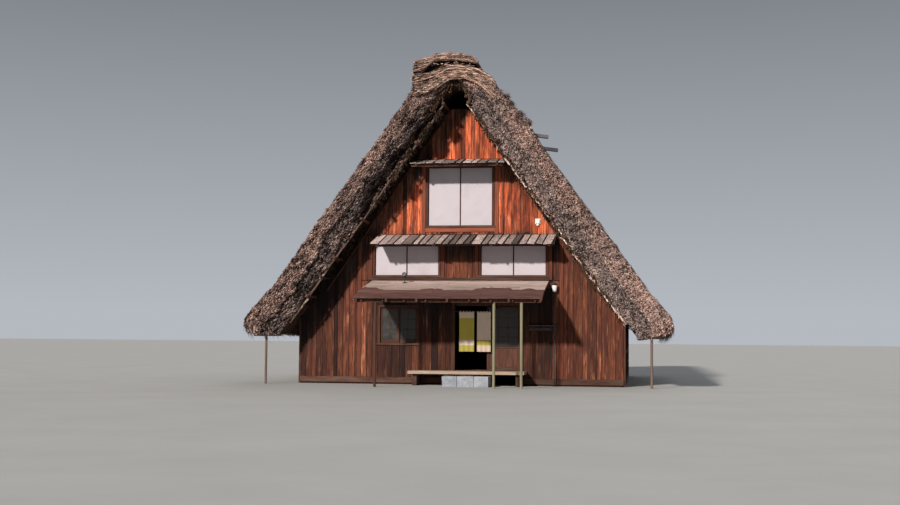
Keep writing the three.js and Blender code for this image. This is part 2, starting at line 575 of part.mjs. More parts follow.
function addLamps() {
  const { x, z, width, height, depth, bulb } = WALL_LAMP;
  const box = block(x - width / 2, x + width / 2, -depth, -GAP, z - height / 2, z + height / 2);
  const globe = new THREE.SphereGeometry(bulb, LAMP_SIDES, ROD_SIDES)
    .translate(x, -depth / 2, z - height / 2 - bulb / 2);
  put('wall_lamp', join(box, globe), creamPaint);

  const { plate, plateThickness, stem, stemRadius, rear, face, length, tilt } = SPOTLIGHT;
  const foot = new THREE.Group();
  foot.position.set(SPOTLIGHT.x, SPOTLIGHT.y, awningTop(SPOTLIGHT.y) + 2 * GAP);
  foot.rotation.x = Math.atan(awningSlope);
  house.add(foot);
  const base = block(-plate, plate, -plate, plate, 0, plateThickness);
  const post = bar([0, 0, plateThickness / 2], [0, 0, stem], stemRadius, ROD_SIDES);
  const lantern = new THREE.CylinderGeometry(rear, face, length, LAMP_SIDES)
    .rotateX(-tilt).translate(0, 0, stem + face);
  put('awning_spotlight', join(base, post, lantern), greyMetal, foot);

  const pole = LAMP_POLE;
  const y = -LEDGER.depth - pole.headRadius - GAP;
  const shaft = bar([pole.x, y, 0], [pole.x, y, pole.height + FUSE], pole.radius, ROD_SIDES);
  const top = pole.height + pole.headHeight;
  const lamp = bar([pole.x, y, pole.height], [pole.x, y, top], pole.headRadius, LAMP_SIDES);
  put('lamp_pole', join(shaft, lamp), creamPaint);
}

function addEavePosts() {
  const { x, y, radius, beamX0, beamX1, beam } = EAVE_POST;
  const beamTop = INNER_FOOT[1] - GAP;
  for (const [side, sign] of [['left', -1], ['right', 1]]) {
    const ends = [sign * beamX0, sign * beamX1].sort((a, b) => a - b);
    const pole = block(...ends, y - beam / 2, y + beam / 2, beamTop - beam, beamTop);
    const post = bar([sign * x, y, 0], [sign * x, y, beamTop - beam / 2], radius, ROD_SIDES);
    put(`eave_post_${side}`, join(post, pole), palePole);
  }
}

addThatch();
addRidge();
addVergeRafters();
addWalls();
addFloors();
addWindows();
addPents();
addAwning();
addEntrance();
addLamps();
addEavePosts();

const group = new THREE.Group();
group.add(house);

export default group;
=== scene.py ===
"""Looks of a steep thatched farmhouse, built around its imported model, in metres."""

import itertools
import math

import bpy
import numpy as np
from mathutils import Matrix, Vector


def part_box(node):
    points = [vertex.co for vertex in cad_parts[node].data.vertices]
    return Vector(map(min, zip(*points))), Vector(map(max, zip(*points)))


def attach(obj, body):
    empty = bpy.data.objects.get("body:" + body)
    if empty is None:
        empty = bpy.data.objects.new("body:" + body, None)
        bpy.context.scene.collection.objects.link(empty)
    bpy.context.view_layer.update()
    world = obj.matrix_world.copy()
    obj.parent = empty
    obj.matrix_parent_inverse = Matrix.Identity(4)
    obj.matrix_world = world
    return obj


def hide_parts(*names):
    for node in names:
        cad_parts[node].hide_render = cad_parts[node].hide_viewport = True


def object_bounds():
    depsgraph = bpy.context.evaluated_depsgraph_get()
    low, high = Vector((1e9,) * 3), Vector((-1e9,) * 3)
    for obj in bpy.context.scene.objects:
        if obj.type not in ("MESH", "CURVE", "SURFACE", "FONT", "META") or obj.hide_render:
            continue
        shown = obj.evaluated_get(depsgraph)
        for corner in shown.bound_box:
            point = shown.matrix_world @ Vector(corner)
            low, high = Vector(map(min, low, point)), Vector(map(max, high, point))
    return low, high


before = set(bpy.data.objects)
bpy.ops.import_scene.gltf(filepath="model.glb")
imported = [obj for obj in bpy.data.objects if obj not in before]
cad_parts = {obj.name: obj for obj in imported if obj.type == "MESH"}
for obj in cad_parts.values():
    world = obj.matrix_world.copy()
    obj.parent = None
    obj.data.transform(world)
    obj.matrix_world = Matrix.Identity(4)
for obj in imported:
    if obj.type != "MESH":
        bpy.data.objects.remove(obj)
cad_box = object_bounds()
random = np.random.default_rng(11)
uniform, normal = random.uniform, random.normal

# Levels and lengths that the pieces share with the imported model

# Outer faces of the gable walls, and how far the thatch reaches over them
FRONT, BACK = -4.89, 6.03
VERGE = 1.2
EDGES = {-1: FRONT - VERGE, 1: BACK + VERGE}
HALF_WIDTH = 4.55
# Every side and gable by its sign; a gable also has its wall's place
SIDES = ((-1, "left"), (1, "right"))
GABLES = ((-1, FRONT, "front"), (1, BACK, "back"))
MIDDLE_ROW_Z, UPPER_ROW_Z, TOP_ROW_Z = 2.91, 4.20, 6.33
GABLE_TOP = (0.25, 7.77)
INNER_APEX_Z = 8.30
INNER_BEND = (4.30, 2.24)
INNER_FOOT = (4.96, 1.37)
INNER_SLOPE = (INNER_APEX_Z - INNER_BEND[1]) / INNER_BEND[0]
FRAME_BAR = 0.06
# Windows: left, right, lowest and highest
UPPER_WINDOW = (-0.91, 0.91, 4.45, 6.10)
RIGHT_WINDOW = (0.60, 2.42, 3.05, 3.89)
LEFT_WINDOW = (-2.42, -0.60, 3.05, 3.89)
GROUND_WINDOW = (-2.25, -1.20, 1.15, 2.15)
DOOR_X0, DOOR_X1, DOOR_TOP = -0.12, 1.70, 2.20
JAMB = 0.10

# Pent roofs: left and right end, height at the wall, reach and drop
UPPER_PENT = (-1.34, 1.34, 6.33, 0.90, 0.21)
MIDDLE_PENT = (-2.40, 2.78, 4.20, 0.95, 0.32)
# Where light comes through the lower ones, and how far the upper one's shade reaches past it
PENT_SLITS = {"front": (0.78, 1.42, 1.80), "back": (-1.2, 0.9)}
PENT_SHADOW = 0.55
# How far a pent's boards lie under its height, and where the two courses of the layer under them meet
BOARD_DROP, COURSE_REACH = 0.034, 0.36
# The awning: half its width, its height at the wall, and its split and front edge by reach and height
AWNING_HALF, AWNING_TOP_Z = 2.5, 2.90
AWNING_SPLIT = (1.75, 2.56)
AWNING_FRONT = (2.40, 2.34)

# The thatch on the gable from the crown to the eave: matching points of its inner and outer line
INNER_LINE = np.array([(0, INNER_APEX_Z), (0.27, 7.92), (0.54, 7.539), INNER_BEND, (4.63, 1.805),
                       (4.80, 1.58), INNER_FOOT])
OUTER_LINE = np.array([(0, 8.43), (0.60, 8.35), (1.25, 8.062), (5.13, 2.67), (5.72, 1.96), (5.89, 1.64),
                       (5.80, 1.47)])

RIM_TOP_Z = 7.72
PURLIN_STEP = 0.53
PURLIN_HEIGHTS = 6.70 + PURLIN_STEP * np.arange(-8, 3)
# Away from the thatch's inner line, into the room under it, on the right
INTO = np.array([-INNER_SLOPE, -1.0]) / math.hypot(INNER_SLOPE, 1)

X, Y, Z = np.eye(3)


def inner_x(z):
    """Where the thatch's inner line is at a height."""
    return (INNER_APEX_Z - z) / INNER_SLOPE


def inner_z(x):
    """How high the thatch's inner line is at a place on the gable."""
    return INNER_APEX_Z - INNER_SLOPE * abs(x)


# Arithmetic on points


def xyz(x, y, z):
    """Points from their coordinates, where one number may stand for all."""
    return np.stack(np.broadcast_arrays(x, y, z), axis=-1)


def unit(v):
    v = np.asarray(v, float)
    return v / np.maximum(np.linalg.norm(v, axis=-1, keepdims=True), 1e-12)


def each(low, high, count):
    """A column of random numbers."""
    return uniform(low, high, (count, 1))


def around(middle, spread, count=None, low=0.0):
    """Random numbers about the middle, kept between low and 1."""
    return np.clip(normal(middle, spread, count), low, 1)


def tousled(directions, scatter):
    """Unit vectors along the directions, each turned a little at random."""
    return unit(directions + normal(scale=scatter, size=directions.shape))


def beside(directions):
    """Unit vectors square to the directions, at random round them."""
    return unit(np.cross(directions, unit(normal(size=directions.shape))))


def smooth(x):
    x = np.clip(x, 0, 1)
    return x * x * (3 - 2 * x)


def noise(points, scale, seed=0):
    """Smooth value noise from -1 to 1 at each point, scale cells to a metre."""
    p = np.asarray(points, float) * scale
    cell = np.floor(p).astype(np.int64)
    f = p - cell
    f = f * f * (3 - 2 * f)
    total = np.zeros(len(p))
    for corner in itertools.product((0, 1), repeat=3):
        c = cell + corner
        h = (c[:, 0] * 73856093) ^ (c[:, 1] * 19349663) ^ (c[:, 2] * 83492791) ^ (seed * 40503 + 17)
        h = ((h ^ (h >> 13)) * 1274126177) & 0x7FFFFFFF
        h = ((h ^ (h >> 15)) * 668265263) & 0x7FFFFFFF
        value = ((h >> 7) & 0xFFFF) / 32767.5 - 1
        total += value * np.prod(np.where(corner, f, 1 - f), axis=1)
    return total


def shaken(points, layers, seed=0):
    """Points moved by noise: layers is [(cells to a metre, reach)]."""
    points = np.asarray(points, float)
    moved = points.reshape(-1, 3).copy()
    for i, (scale, reach) in enumerate(layers):
        for axis in range(3):
            moved[:, axis] += reach * noise(points.reshape(-1, 3), scale, seed + 3 * i + axis)
    return moved.reshape(points.shape)


def lengths_along(line):
    """How far along a broken line each of its points lies."""
    return np.concatenate([[0], np.cumsum(np.linalg.norm(np.diff(line, axis=0), axis=1))])


def picked(line, at, where):
    """Points of a broken line at other places, at being the places of its own points."""
    return np.stack([np.interp(where, at, column) for column in np.transpose(line)], axis=1)


def centre_of(low, high):
    """Where the middle of a box is on the ground."""
    return (low.x + high.x) / 2, (low.y + high.y) / 2


# Meshes


class Build:
    """Gathers the points and faces of one piece; a look is a shade and a tone from 0 to 1, and a slot."""

    def __init__(self):
        self.points, self.faces, self.shades, self.tones, self.slots, self.count = [], [], [], [], [], 0

    def add(self, points, faces, shade=0.5, slot=0, tone=0.5):
        points = np.asarray(points, float).reshape(-1, 3)
        self.points.append(points)
        self.faces.extend([i + self.count for i in face] for face in faces)
        for gathered, value in ((self.shades, shade), (self.tones, tone)):
            value = np.asarray(value, float).ravel()
            gathered.append(np.repeat(value, len(points) // len(value)))
        self.slots.extend([slot] * len(faces))
        self.count += len(points)

    def grid(self, points, flip=False, **look):
        """A sheet of quads over points of shape (rows, columns, 3)."""
        rows, columns = points.shape[:2]
        index = np.arange(rows * columns).reshape(rows, columns)
        corners = (index[:-1, :-1], index[1:, :-1], index[1:, 1:], index[:-1, 1:])
        quads = np.stack(corners, axis=-1).reshape(-1, 4)
        self.add(points, (quads[:, ::-1] if flip else quads).tolist(), **look)

    def loft(self, rings, **look):
        """A closed body through rings of equally many points."""
        rings = np.asarray(rings, float)
        n, k = rings.shape[:2]
        faces = [[s + j, s + (j + 1) % k, s + (j + 1) % k + k, s + j + k]
                 for s in range(0, (n - 1) * k, k) for j in range(k)]
        self.add(rings, [*faces, list(range(k))[::-1], list(range((n - 1) * k, n * k))], **look)

    def beam(self, a, b, width, depth, up=Z, chamfer=0.006, **look):
        """A squared timber from a to b; depth is its size along up."""
        a, b = np.asarray(a, float), np.asarray(b, float)
        along = unit(b - a)
        side = unit(np.cross(along, up))
        top = np.cross(side, along)
        w, d, c = width / 2, depth / 2, min(chamfer, width / 4, depth / 4)
        quarter = [(w, d - c), (w - c, d)]
        section = quarter + [(-x, y) for x, y in quarter[::-1]]
        section += [(-x, -y) for x, y in section]
        ring = np.array([side * x + top * y for x, y in section])
        self.loft([a + ring, b + ring], **look)

    def level(self, x0, x1, y, z, width, depth, **look):
        """A beam across the gable."""
        self.beam((x0, y, z), (x1, y, z), width, depth, **look)

    def upright(self, x, y, z0, z1, width, depth, **look):
        """A standing beam, width wide across the gable."""
        self.beam((x, y, z0), (x, y, z1), width, depth, up=Y, **look)

    def slab(self, outline, push, chamfer=0.004, **look):
        """A board: a flat outline, thickened by push, with its outer edges broken."""
        outline, push = np.asarray(outline, float), np.asarray(push, float)
        thickness = np.linalg.norm(push)
        middle = outline.mean(0)
        inset = middle + (outline - middle) * (1 - chamfer / np.ptp(outline, axis=0).max())
        self.loft([outline, outline + push * (1 - chamfer / thickness), inset + push], **look)

    def panel(self, x0, x1, z0, z1, y, depth, **look):
        """A board that stands across the gable, from y to y + depth."""
        self.slab([(x0, y, z0), (x1, y, z0), (x1, y, z1), (x0, y, z1)], (0, depth, 0), **look)

    def pole(self, path, radius, sides=7, wobble=0.0, seed=0, **look):
        """A round pole along path; radius is one number or one for each point."""
        path = np.asarray(path, float)
        radius = np.broadcast_to(radius, len(path))
        along = unit(np.gradient(path, axis=0))
        side = unit(np.cross(along, Z if abs(along[:, 2]).mean() < 0.9 else X))
        top = np.cross(side, along)
        turns = np.arange(sides) * 2 * math.pi / sides
        ring = side[:, None] * np.cos(turns)[None, :, None] + top[:, None] * np.sin(turns)[None, :, None]
        rings = path[:, None] + ring * radius[:, None, None]
        if wobble:
            rings = shaken(rings, [(4.0, wobble), (14.0, wobble / 2)], seed)
        self.loft(rings, **look)

    def straws(self, roots, reach, width, **look):
        """Tapered straws: a narrow pointed blade from each root along reach."""
        side = beside(reach) * width[:, None] / 2
        points = np.stack([roots - side, roots + side, roots + reach], axis=1)
        self.add(points, np.arange(3 * len(roots)).reshape(-1, 3).tolist(), **look)

    def stubs(self, roots, reach, radius, **look):
        """Bundles of cut straw: a three-sided stick from each root along reach."""
        side = beside(reach)
        other = np.cross(unit(reach), side)
        ring = [(side * math.cos(a) + other * math.sin(a)) * radius[:, None] for a in (0, 2.1, 4.2)]
        points = np.stack([roots + r for r in ring] + [roots + reach + 0.8 * r for r in ring], axis=1)
        start = np.arange(len(roots))[:, None] * 6
        quads = np.concatenate([start + q for q in ([0, 1, 4, 3], [1, 2, 5, 4], [2, 0, 3, 5])])
        self.add(points, quads.tolist() + (start + [3, 4, 5]).tolist(), **look)


def piece(name, build, *materials, body="building", smooth=False, stands_for=(), slot=None):
    """A named piece of the object from what was gathered, riding on a body."""
    mesh = bpy.data.meshes.new(name)
    points = np.clip(np.concatenate(build.points), *(np.array(corner) for corner in cad_box))
    mesh.from_pydata(points.tolist(), [], build.faces)
    for key, values in (("shade", build.shades), ("tone", build.tones)):
        mesh.attributes.new(key, "FLOAT", "POINT").data.foreach_set("value", np.concatenate(values))
    mesh.polygons.foreach_set("use_smooth", [smooth] * len(build.faces))
    mesh.polygons.foreach_set("material_index", build.slots)
    for material in materials:
        mesh.materials.append(material)
    mesh.update()
    obj = bpy.data.objects.new(name, mesh)
    bpy.context.scene.collection.objects.link(obj)
    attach(obj, body)
    if stands_for:
        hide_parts(*stands_for)
    return obj


# Materials


def linear(colour):
    """A colour given as 8-bit numbers, made linear."""
    c = np.array(colour, float) / 255
    c = np.where(c <= 0.04045, c / 12.92, ((c + 0.055) / 1.055) ** 2.4)
    return (*c.tolist(), 1.0)


class Finish:
    """A node material: each method adds a node and gives its output."""

    def __init__(self, name, roughness=0.9, metallic=0.0, specular=0.3):
        self.material = bpy.data.materials.new(name)
        self.material.use_nodes = True
        self.tree = self.material.node_tree
        self.shader = self.tree.nodes["Principled BSDF"]
        self.feed(self.shader, {"Roughness": roughness, "Metallic": metallic, "Specular IOR Level": specular})
        self.place = self.node("TexCoord", {}).outputs["Object"]

    def feed(self, node, inputs):
        """Gives each input a number, a colour or another node's output."""
        for key, value in inputs.items():
            socket = node.inputs[key]
            if isinstance(value, bpy.types.NodeSocket):
                self.tree.links.new(value, socket)
            else:
                socket.default_value = linear(value) if socket.type == "RGBA" else value

    def node(self, kind, inputs, **settings):
        made = self.tree.nodes.new("ShaderNode" + kind)
        for key, value in settings.items():
            setattr(made, key, value)
        self.feed(made, inputs)
        return made

    def noise(self, scale, stretch=(1, 1, 1), detail=3.0, roughness=0.6, shift=(0, 0, 0), distortion=0.0):
        """Noise with features scale to a metre, drawn out along each axis by a stretch under 1."""
        moved = self.node("Mapping", {"Vector": self.place, "Scale": stretch, "Location": shift})
        return self.node("TexNoise", {"Vector": moved.outputs["Vector"], "Scale": scale, "Detail": detail,
                                      "Roughness": roughness, "Distortion": distortion}).outputs["Fac"]

    def attribute(self, name):
        return self.node("Attribute", {}, attribute_name=name).outputs["Fac"]

    def spread(self, factor, low, high, to_low=0.0, to_high=1.0):
        return self.node("MapRange", {"Value": factor, "From Min": low, "From Max": high, "To Min": to_low,
                                      "To Max": to_high}).outputs["Result"]

    def ramp(self, factor, stops, interpolation="LINEAR"):
        made = self.node("ValToRGB", {"Fac": factor})
        made.color_ramp.interpolation = interpolation
        elements = made.color_ramp.elements
        while len(elements) < len(stops):
            elements.new(0.5)
        for element, (at, colour) in zip(elements, stops):
            element.position, element.color = at, linear(colour)
        return made.outputs["Color"]

    def mix(self, factor, a, b, blend="MIX"):
        return self.node("Mix", {"Factor": factor, 6: a, 7: b}, data_type="RGBA", blend_type=blend).outputs[2]

    def stained(self, colour, where, amount, stain):
        """The colour with a stain over it, as strong as where it lies times amount."""
        return self.mix(self.math("MULTIPLY", where, amount), colour, stain)

    def times(self, colour, factor):
        """The colour made brighter or darker by a factor that varies."""
        return self.node("VectorMath", {0: colour, "Scale": factor}, operation="SCALE").outputs["Vector"]

    def math(self, operation, a, b=0.0):
        return self.node("Math", {0: a, 1: b}, operation=operation).outputs[0]

    def axis(self, which):
        return self.node("SeparateXYZ", {0: self.place}).outputs[which]

    def scatter(self, by):
        """A shift into the noise that differs from board to board, as their shades do."""
        far = self.math("MULTIPLY", self.attribute("shade"), by)
        return self.node("CombineXYZ", {0: far, 1: far, 2: far}).outputs[0]

    def bump(self, height, distance, strength):
        made = self.node("Bump", {"Strength": strength, "Distance": distance, "Height": height})
        self.feed(self.shader, {"Normal": made.outputs["Normal"]})

    def colour(self, value):
        self.feed(self.shader, {"Base Color": value})
        return self.material


def thatch_finish(name, grey, warm, patch, contrast=0.75, scale=19, side=0, streak=1.0, cracks=0.0):
    """Weathered straw, grey to warm by tone; its streaks and cracks run down a side's slope."""
    f = Finish(name, roughness=1.0, specular=0.1)
    if side:
        turn = (0, -side * math.atan(INNER_SLOPE), 0)
        f.place = f.node("Mapping", {"Vector": f.place, "Rotation": turn}).outputs["Vector"]
    speckle = f.noise(scale, (streak, 1, 1), detail=6.0, roughness=0.8)
    grey, warm = (f.ramp(speckle, list(zip((0.39, 0.50, 0.62), tints))) for tints in (grey, warm))
    colour = f.mix(f.attribute("tone"), grey, warm)
    colour = f.stained(colour, f.spread(f.noise(0.9, detail=2.0), 0.42, 0.62), 0.35, patch)
    shade = f.spread(f.attribute("shade"), 0.0, 1.0, 1 - contrast, 1 + contrast)
    if cracks:
        off = f.math("SUBTRACT", f.noise(4.5, (0.30, 1, 1), detail=5.0, distortion=0.6), 0.5)
        shade = f.math("MULTIPLY", shade, f.spread(f.math("ABSOLUTE", off), 0.0, 0.035, 1 - cracks, 1.0))
    f.bump(f.noise(60, (streak, 1, 1), detail=4.0), 0.02, 0.8)
    return f.colour(f.times(colour, shade))


def wood_finish(name, dark, light, along, weathered=None, scale=30, roughness=0.85, contrast=0.5):
    """Sawn timber whose grain runs along one axis; with a contrast, each board has its own shade."""
    f = Finish(name, roughness=roughness, specular=0.25)
    drawn = lambda share: tuple(share if axis == along else 1 for axis in range(3))
    shift = f.scatter(31.7) if contrast else (0, 0, 0)
    grain = f.noise(scale, drawn(0.05), detail=5.0, roughness=0.7, shift=shift, distortion=0.3)
    colour = f.ramp(grain, [(0.30, dark), (0.68, light)])
    if weathered:
        shaded_recess = f.spread(f.noise(5, drawn(0.25), detail=4.0, shift=shift), 0.45, 0.70)
        colour = f.stained(colour, shaded_recess, 0.5, weathered)
    if contrast:
        colour = f.times(colour, f.spread(f.attribute("shade"), 0.0, 1.0, 1 - contrast, 1 + contrast))
    f.bump(grain, 0.004, 0.7)
    return f.colour(colour)


def red_finish(name):
    """Red-brown upright boards, orange high on the gable, with painted shade under the roofs and beside the
    left verge.
    """
    f = Finish(name, roughness=0.8, specular=0.25)
    shift = f.scatter(27.3)
    grain = f.noise(34, (1, 1, 0.05), detail=5.0, roughness=0.7, shift=shift, distortion=0.4)
    high = f.ramp(grain, [(0.32, (86, 32, 18)), (0.52, (200, 89, 50)), (0.72, (244, 160, 113))])
    low = f.ramp(grain, [(0.32, (40, 21, 14)), (0.52, (94, 49, 31)), (0.72, (136, 82, 58))])
    colour = f.mix(f.spread(f.axis("Z"), 3.9, 4.5), low, high)
    patches = f.noise(1.7, (1, 1, 0.5), detail=6.0, roughness=0.7)
    colour = f.stained(colour, f.spread(patches, 0.48, 0.64), 0.62, (70, 34, 26))
    streaks = f.noise(6.0, (1, 1, 0.16), detail=5.0, shift=shift)
    colour = f.stained(colour, f.spread(streaks, 0.48, 0.66), 0.78, (60, 29, 22))
    bleached = f.noise(9, (1, 1, 0.12), detail=4.0, shift=shift)
    colour = f.stained(colour, f.spread(bleached, 0.58, 0.76), 0.50, (204, 138, 102))
    colour = f.times(colour, f.spread(f.attribute("shade"), 0.0, 1.0, 0.22, 1.70))

    # Painted shade: where tone is 1, the boards take the tints of the pents' and the awning's shade by
    # height.
    ragged = f.spread(f.noise(6, (1, 1, 0.25), detail=4.0, shift=shift), 0.3, 0.7, -0.14, 0.14)
    z = f.math("ADD", f.axis("Z"), ragged)
    painted_shade = f.ramp(f.math("DIVIDE", z, PAINTED_SHADE_TOP_Z), [(at / PAINTED_SHADE_TOP_Z, tint) for at, tint in PAINTED_SHADE_TINTS])
    colour = f.mix(1.0, colour, f.mix(f.attribute("tone"), UNTINTED, painted_shade), "MULTIPLY")
    # Painted shadow of the left verge: boards near it are tinted darker and browner.
    verge_shadow = f.math("DIVIDE", f.math("SUBTRACT", INNER_APEX_Z, z), INNER_SLOPE)
    verge_shadow = f.spread(f.math("ADD", f.axis("X"), verge_shadow), 0.50, 0.95)
    colour = f.mix(1.0, colour, f.mix(verge_shadow, (140, 180, 217), UNTINTED), "MULTIPLY")
    f.bump(grain, 0.004, 0.8)
    return f.colour(colour)


def plain_finish(name, colour, other, scale, roughness, bump=0.001, metallic=0.0):
    """A finish with a slight change of colour over it."""
    f = Finish(name, roughness, metallic)
    patches = f.noise(scale, detail=4.0)
    f.bump(f.noise(scale * 8, detail=3.0), bump, 0.6)
    return f.colour(f.mix(f.spread(patches, 0.35, 0.70), colour, other))


def paper_finish():
    """White paper screens, lightly stained and cockled."""
    f = Finish("paper", roughness=0.85, specular=0.2)
    stain = f.spread(f.noise(2.2, detail=4.0), 0.50, 0.75)
    f.bump(f.noise(5.0, (1, 1, 0.7), detail=3.0), 0.012, 0.6)
    return f.colour(f.stained((190, 181, 186), stain, 0.5, (174, 163, 166)))


def cloth_finish(name, bands):
    """Cotton in plain bands: bands is [(lowest height of the band, colour)] from the ground up; each colour
    is a dye with painted light in it.
    """
    f = Finish(name, specular=0.1)
    low, high = bands[0][0], bands[-1][0] + 0.2
    stops = [((z - low) / (high - low), colour) for z, colour in bands]
    dye_and_light = f.ramp(f.spread(f.axis("Z"), low, high), stops, "CONSTANT")
    weave = f.noise(500, detail=2.0)
    f.bump(weave, 0.0006, 0.5)
    f.feed(f.shader, {"Sheen Weight": 0.3, "Roughness": f.spread(weave, 0.3, 0.7, 0.88, 1.0)})
    return f.colour(f.times(dye_and_light, f.spread(weave, 0.3, 0.7, 0.9, 1.08)))


def glass_finish():
    """Dusty window glass, coloured dark as painted shade for the unlit room behind it."""
    f = Finish("glass", specular=0.5)
    dust = f.noise(4, detail=2.0)
    f.feed(f.shader, {"Roughness": f.spread(dust, 0.3, 0.7, 0.22, 0.40)})
    return f.colour(f.mix(f.spread(dust, 0.3, 0.8), (24, 20, 17), (46, 40, 35)))


# Tints by height that paint the pents' and the awning's shade onto the boards under them; and the height at
# the tints' end
PAINTED_SHADE_TOP_Z = 8.0
PAINTED_FULL_SHADE, PAINTED_HALF_SHADE, UNTINTED = (112, 150, 188), (150, 190, 222), (255, 255, 255)
PAINTED_SHADE_TINTS = [(0.0, UNTINTED), (1.4, (240, 248, 252)), (2.3, PAINTED_HALF_SHADE), (2.88, PAINTED_FULL_SHADE), (2.94, UNTINTED), (3.30, UNTINTED),
             (3.62, PAINTED_HALF_SHADE), (4.18, PAINTED_FULL_SHADE), (4.24, UNTINTED), (5.52, UNTINTED), (5.86, PAINTED_HALF_SHADE), (6.30, PAINTED_FULL_SHADE), (6.36, UNTINTED)]

# Each straw has dark, middle and light colours, grey ones and warm ones
GREY_STRAW = ((70, 59, 57), (122, 106, 102), (178, 157, 150))
WARM_STRAW = ((80, 60, 54), (145, 117, 107), (205, 174, 161))
VERGE_STRAW = {side: thatch_finish(f"verge_straw_{name}", GREY_STRAW, WARM_STRAW, patch, contrast=1.0,
                                   scale=22, side=side, streak=0.7, cracks=0.38)
               for (side, name), patch in zip(SIDES, ((112, 98, 94), (124, 110, 104)))}
SLOPE_STRAW = {side: thatch_finish(f"slope_straw_{name}", ((58, 51, 48), (100, 89, 83), (142, 128, 120)),
                                   ((60, 51, 46), (110, 95, 86), (152, 134, 124)), (92, 88, 78), scale=26,
                                   side=side, streak=0.10)
               for side, name in SIDES}
# Dark straw for the thatch's underside, its ends and inner packing: painted shade under and between the
# straw.
UNDER_STRAW = thatch_finish("under_straw", ((22, 18, 16), (50, 42, 38), (84, 72, 64)),
                            ((34, 24, 18), (82, 60, 46), (130, 102, 82)), (50, 40, 34))
CAP_STRAW = thatch_finish("cap_straw", ((52, 42, 39), (120, 101, 93), (176, 156, 146)),
                          ((76, 56, 47), (168, 134, 117), (230, 196, 176)), (140, 114, 100), contrast=0.95,
                          scale=24, streak=0.22, cracks=0.5)
LOOSE_STRAW = thatch_finish("loose_straw", GREY_STRAW, WARM_STRAW, (116, 102, 94), contrast=0.92)
FLAKES = thatch_finish("flakes", ((96, 76, 66), (176, 154, 142), (222, 206, 196)),
                       ((120, 92, 78), (208, 186, 172), (240, 228, 218)), (190, 168, 152))
RED = red_finish("red_boards")
BROWN = ((44, 28, 22), (92, 60, 46))
TIMBER_X = wood_finish("timber_x", *BROWN, 0, (104, 84, 74))
TIMBER_Y = wood_finish("timber_y", *BROWN, 1, (104, 84, 74))
TIMBER_Z = wood_finish("timber_z", (44, 28, 22), (96, 58, 44), 2, (110, 74, 60))
RED_TIMBER_Z = wood_finish("red_timber_z", (92, 44, 30), (150, 84, 62), 2, (96, 62, 50))
RED_TIMBER_X = wood_finish("red_timber_x", (104, 50, 32), (158, 84, 58), 0, (96, 62, 50))
GREY_BOARDS = wood_finish("grey_boards", (72, 57, 52), (206, 184, 176), 1, (98, 80, 74), contrast=0.86)
ROOF_TIMBER = wood_finish("roof_timber", (40, 40, 46), (88, 86, 94), 0, (122, 114, 112))
AWNING_PALE = wood_finish("awning_pale", (108, 84, 76), (230, 203, 192), 0, (168, 146, 136), contrast=0.25)
AWNING_BROWN = wood_finish("awning_brown", (56, 33, 29), (130, 93, 85), 0, (98, 71, 65), contrast=0.25)
GREY_POLE = wood_finish("grey_pole", (66, 50, 43), (122, 99, 88), 2, (98, 80, 70), scale=20)
PALE_POLE = wood_finish("pale_pole", (116, 88, 74), (184, 158, 142), 2, (142, 120, 108), scale=20)
FLOOR_X = wood_finish("floor_x", (128, 104, 88), (194, 170, 150), 0, (158, 142, 128))
RED_PLAIN = wood_finish("wall_core", (30, 18, 14), (58, 34, 26), 2, contrast=0)
FLOOR_PLAIN = wood_finish("floor_plain", (92, 68, 50), (140, 108, 82), 1, contrast=0)
TIMBER_PLAIN = wood_finish("timber_plain", *BROWN, 2, contrast=0)
BAMBOO = wood_finish("bamboo", (104, 100, 78), (146, 140, 112), 2, (128, 114, 92), scale=16, roughness=0.5,
                     contrast=0)
PAPER = paper_finish()
GLASS = glass_finish()
STONE = plain_finish("stone", (128, 132, 140), (166, 168, 172), 9, 0.95, 0.012)
CREAM = plain_finish("cream_paint", (232, 226, 212), (206, 198, 182), 12, 0.5)
LAMP_GLASS = plain_finish("lamp_glass", (238, 236, 232), (214, 212, 208), 10, 0.3, 0.0004)
METAL = plain_finish("grey_metal", (92, 92, 92), (60, 58, 56), 20, 0.45, 0.0006, metallic=0.8)
STUDIO_FLOOR = plain_finish("floor_finish", (180, 178, 174), (174, 172, 168), 0.5, 0.95, 0.0)
# Curtain bands, lowest height and colour, dyed olive and white, with painted light: the upper bands are made
# brighter and the foot darker.
OLIVE_DYE_AND_LIGHT = [(0.90, (160, 147, 72)), (1.10, (196, 177, 157)), (1.27, (196, 181, 84)),
               (1.86, (232, 212, 190))]
BEIGE_DYE_AND_LIGHT = [(0.90, (192, 172, 152)), (1.10, (158, 144, 70)), (1.25, (234, 212, 190)),
               (1.86, (234, 214, 192))]


# Thatch

# Noise over all the straw: cells to a metre, and reach
LUMPS = [(1.6, 0.030), (5.0, 0.024), (12.0, 0.024), (24.0, 0.014)]
# How far the verge's face is cut back: towards its inner edge, at the crease in it, and at its outer corner
VERGE_BEVEL, CREASE, CORNER = 0.22, 0.05, 0.07
# The hollow beside the crown: its share of the verge's length and of its width
HOLLOWS = {-1: (0.17, 0.62), 1: (0.10, 0.26)}
VERGE_COLUMNS = 33
SLOPE_ROWS = 120
# Bunches of straw inside the left verge: their place on the gable, and size
SHEAVES = ((-0.86, 7.00, 0.20), (-1.30, 6.42, 0.12), (-1.66, 5.86, 0.18), (-0.50, 7.44, 0.12))
# Tufts outside the right verge, under the ridge: their place on the gable, size and length
TUFTS = ((1.36, 7.88, 0.08, 0.13), (1.50, 7.70, 0.08, 0.12), (1.72, 7.42, 0.09, 0.20),
         (1.90, 7.20, 0.09, 0.22))
TUFT_Y = -5.93


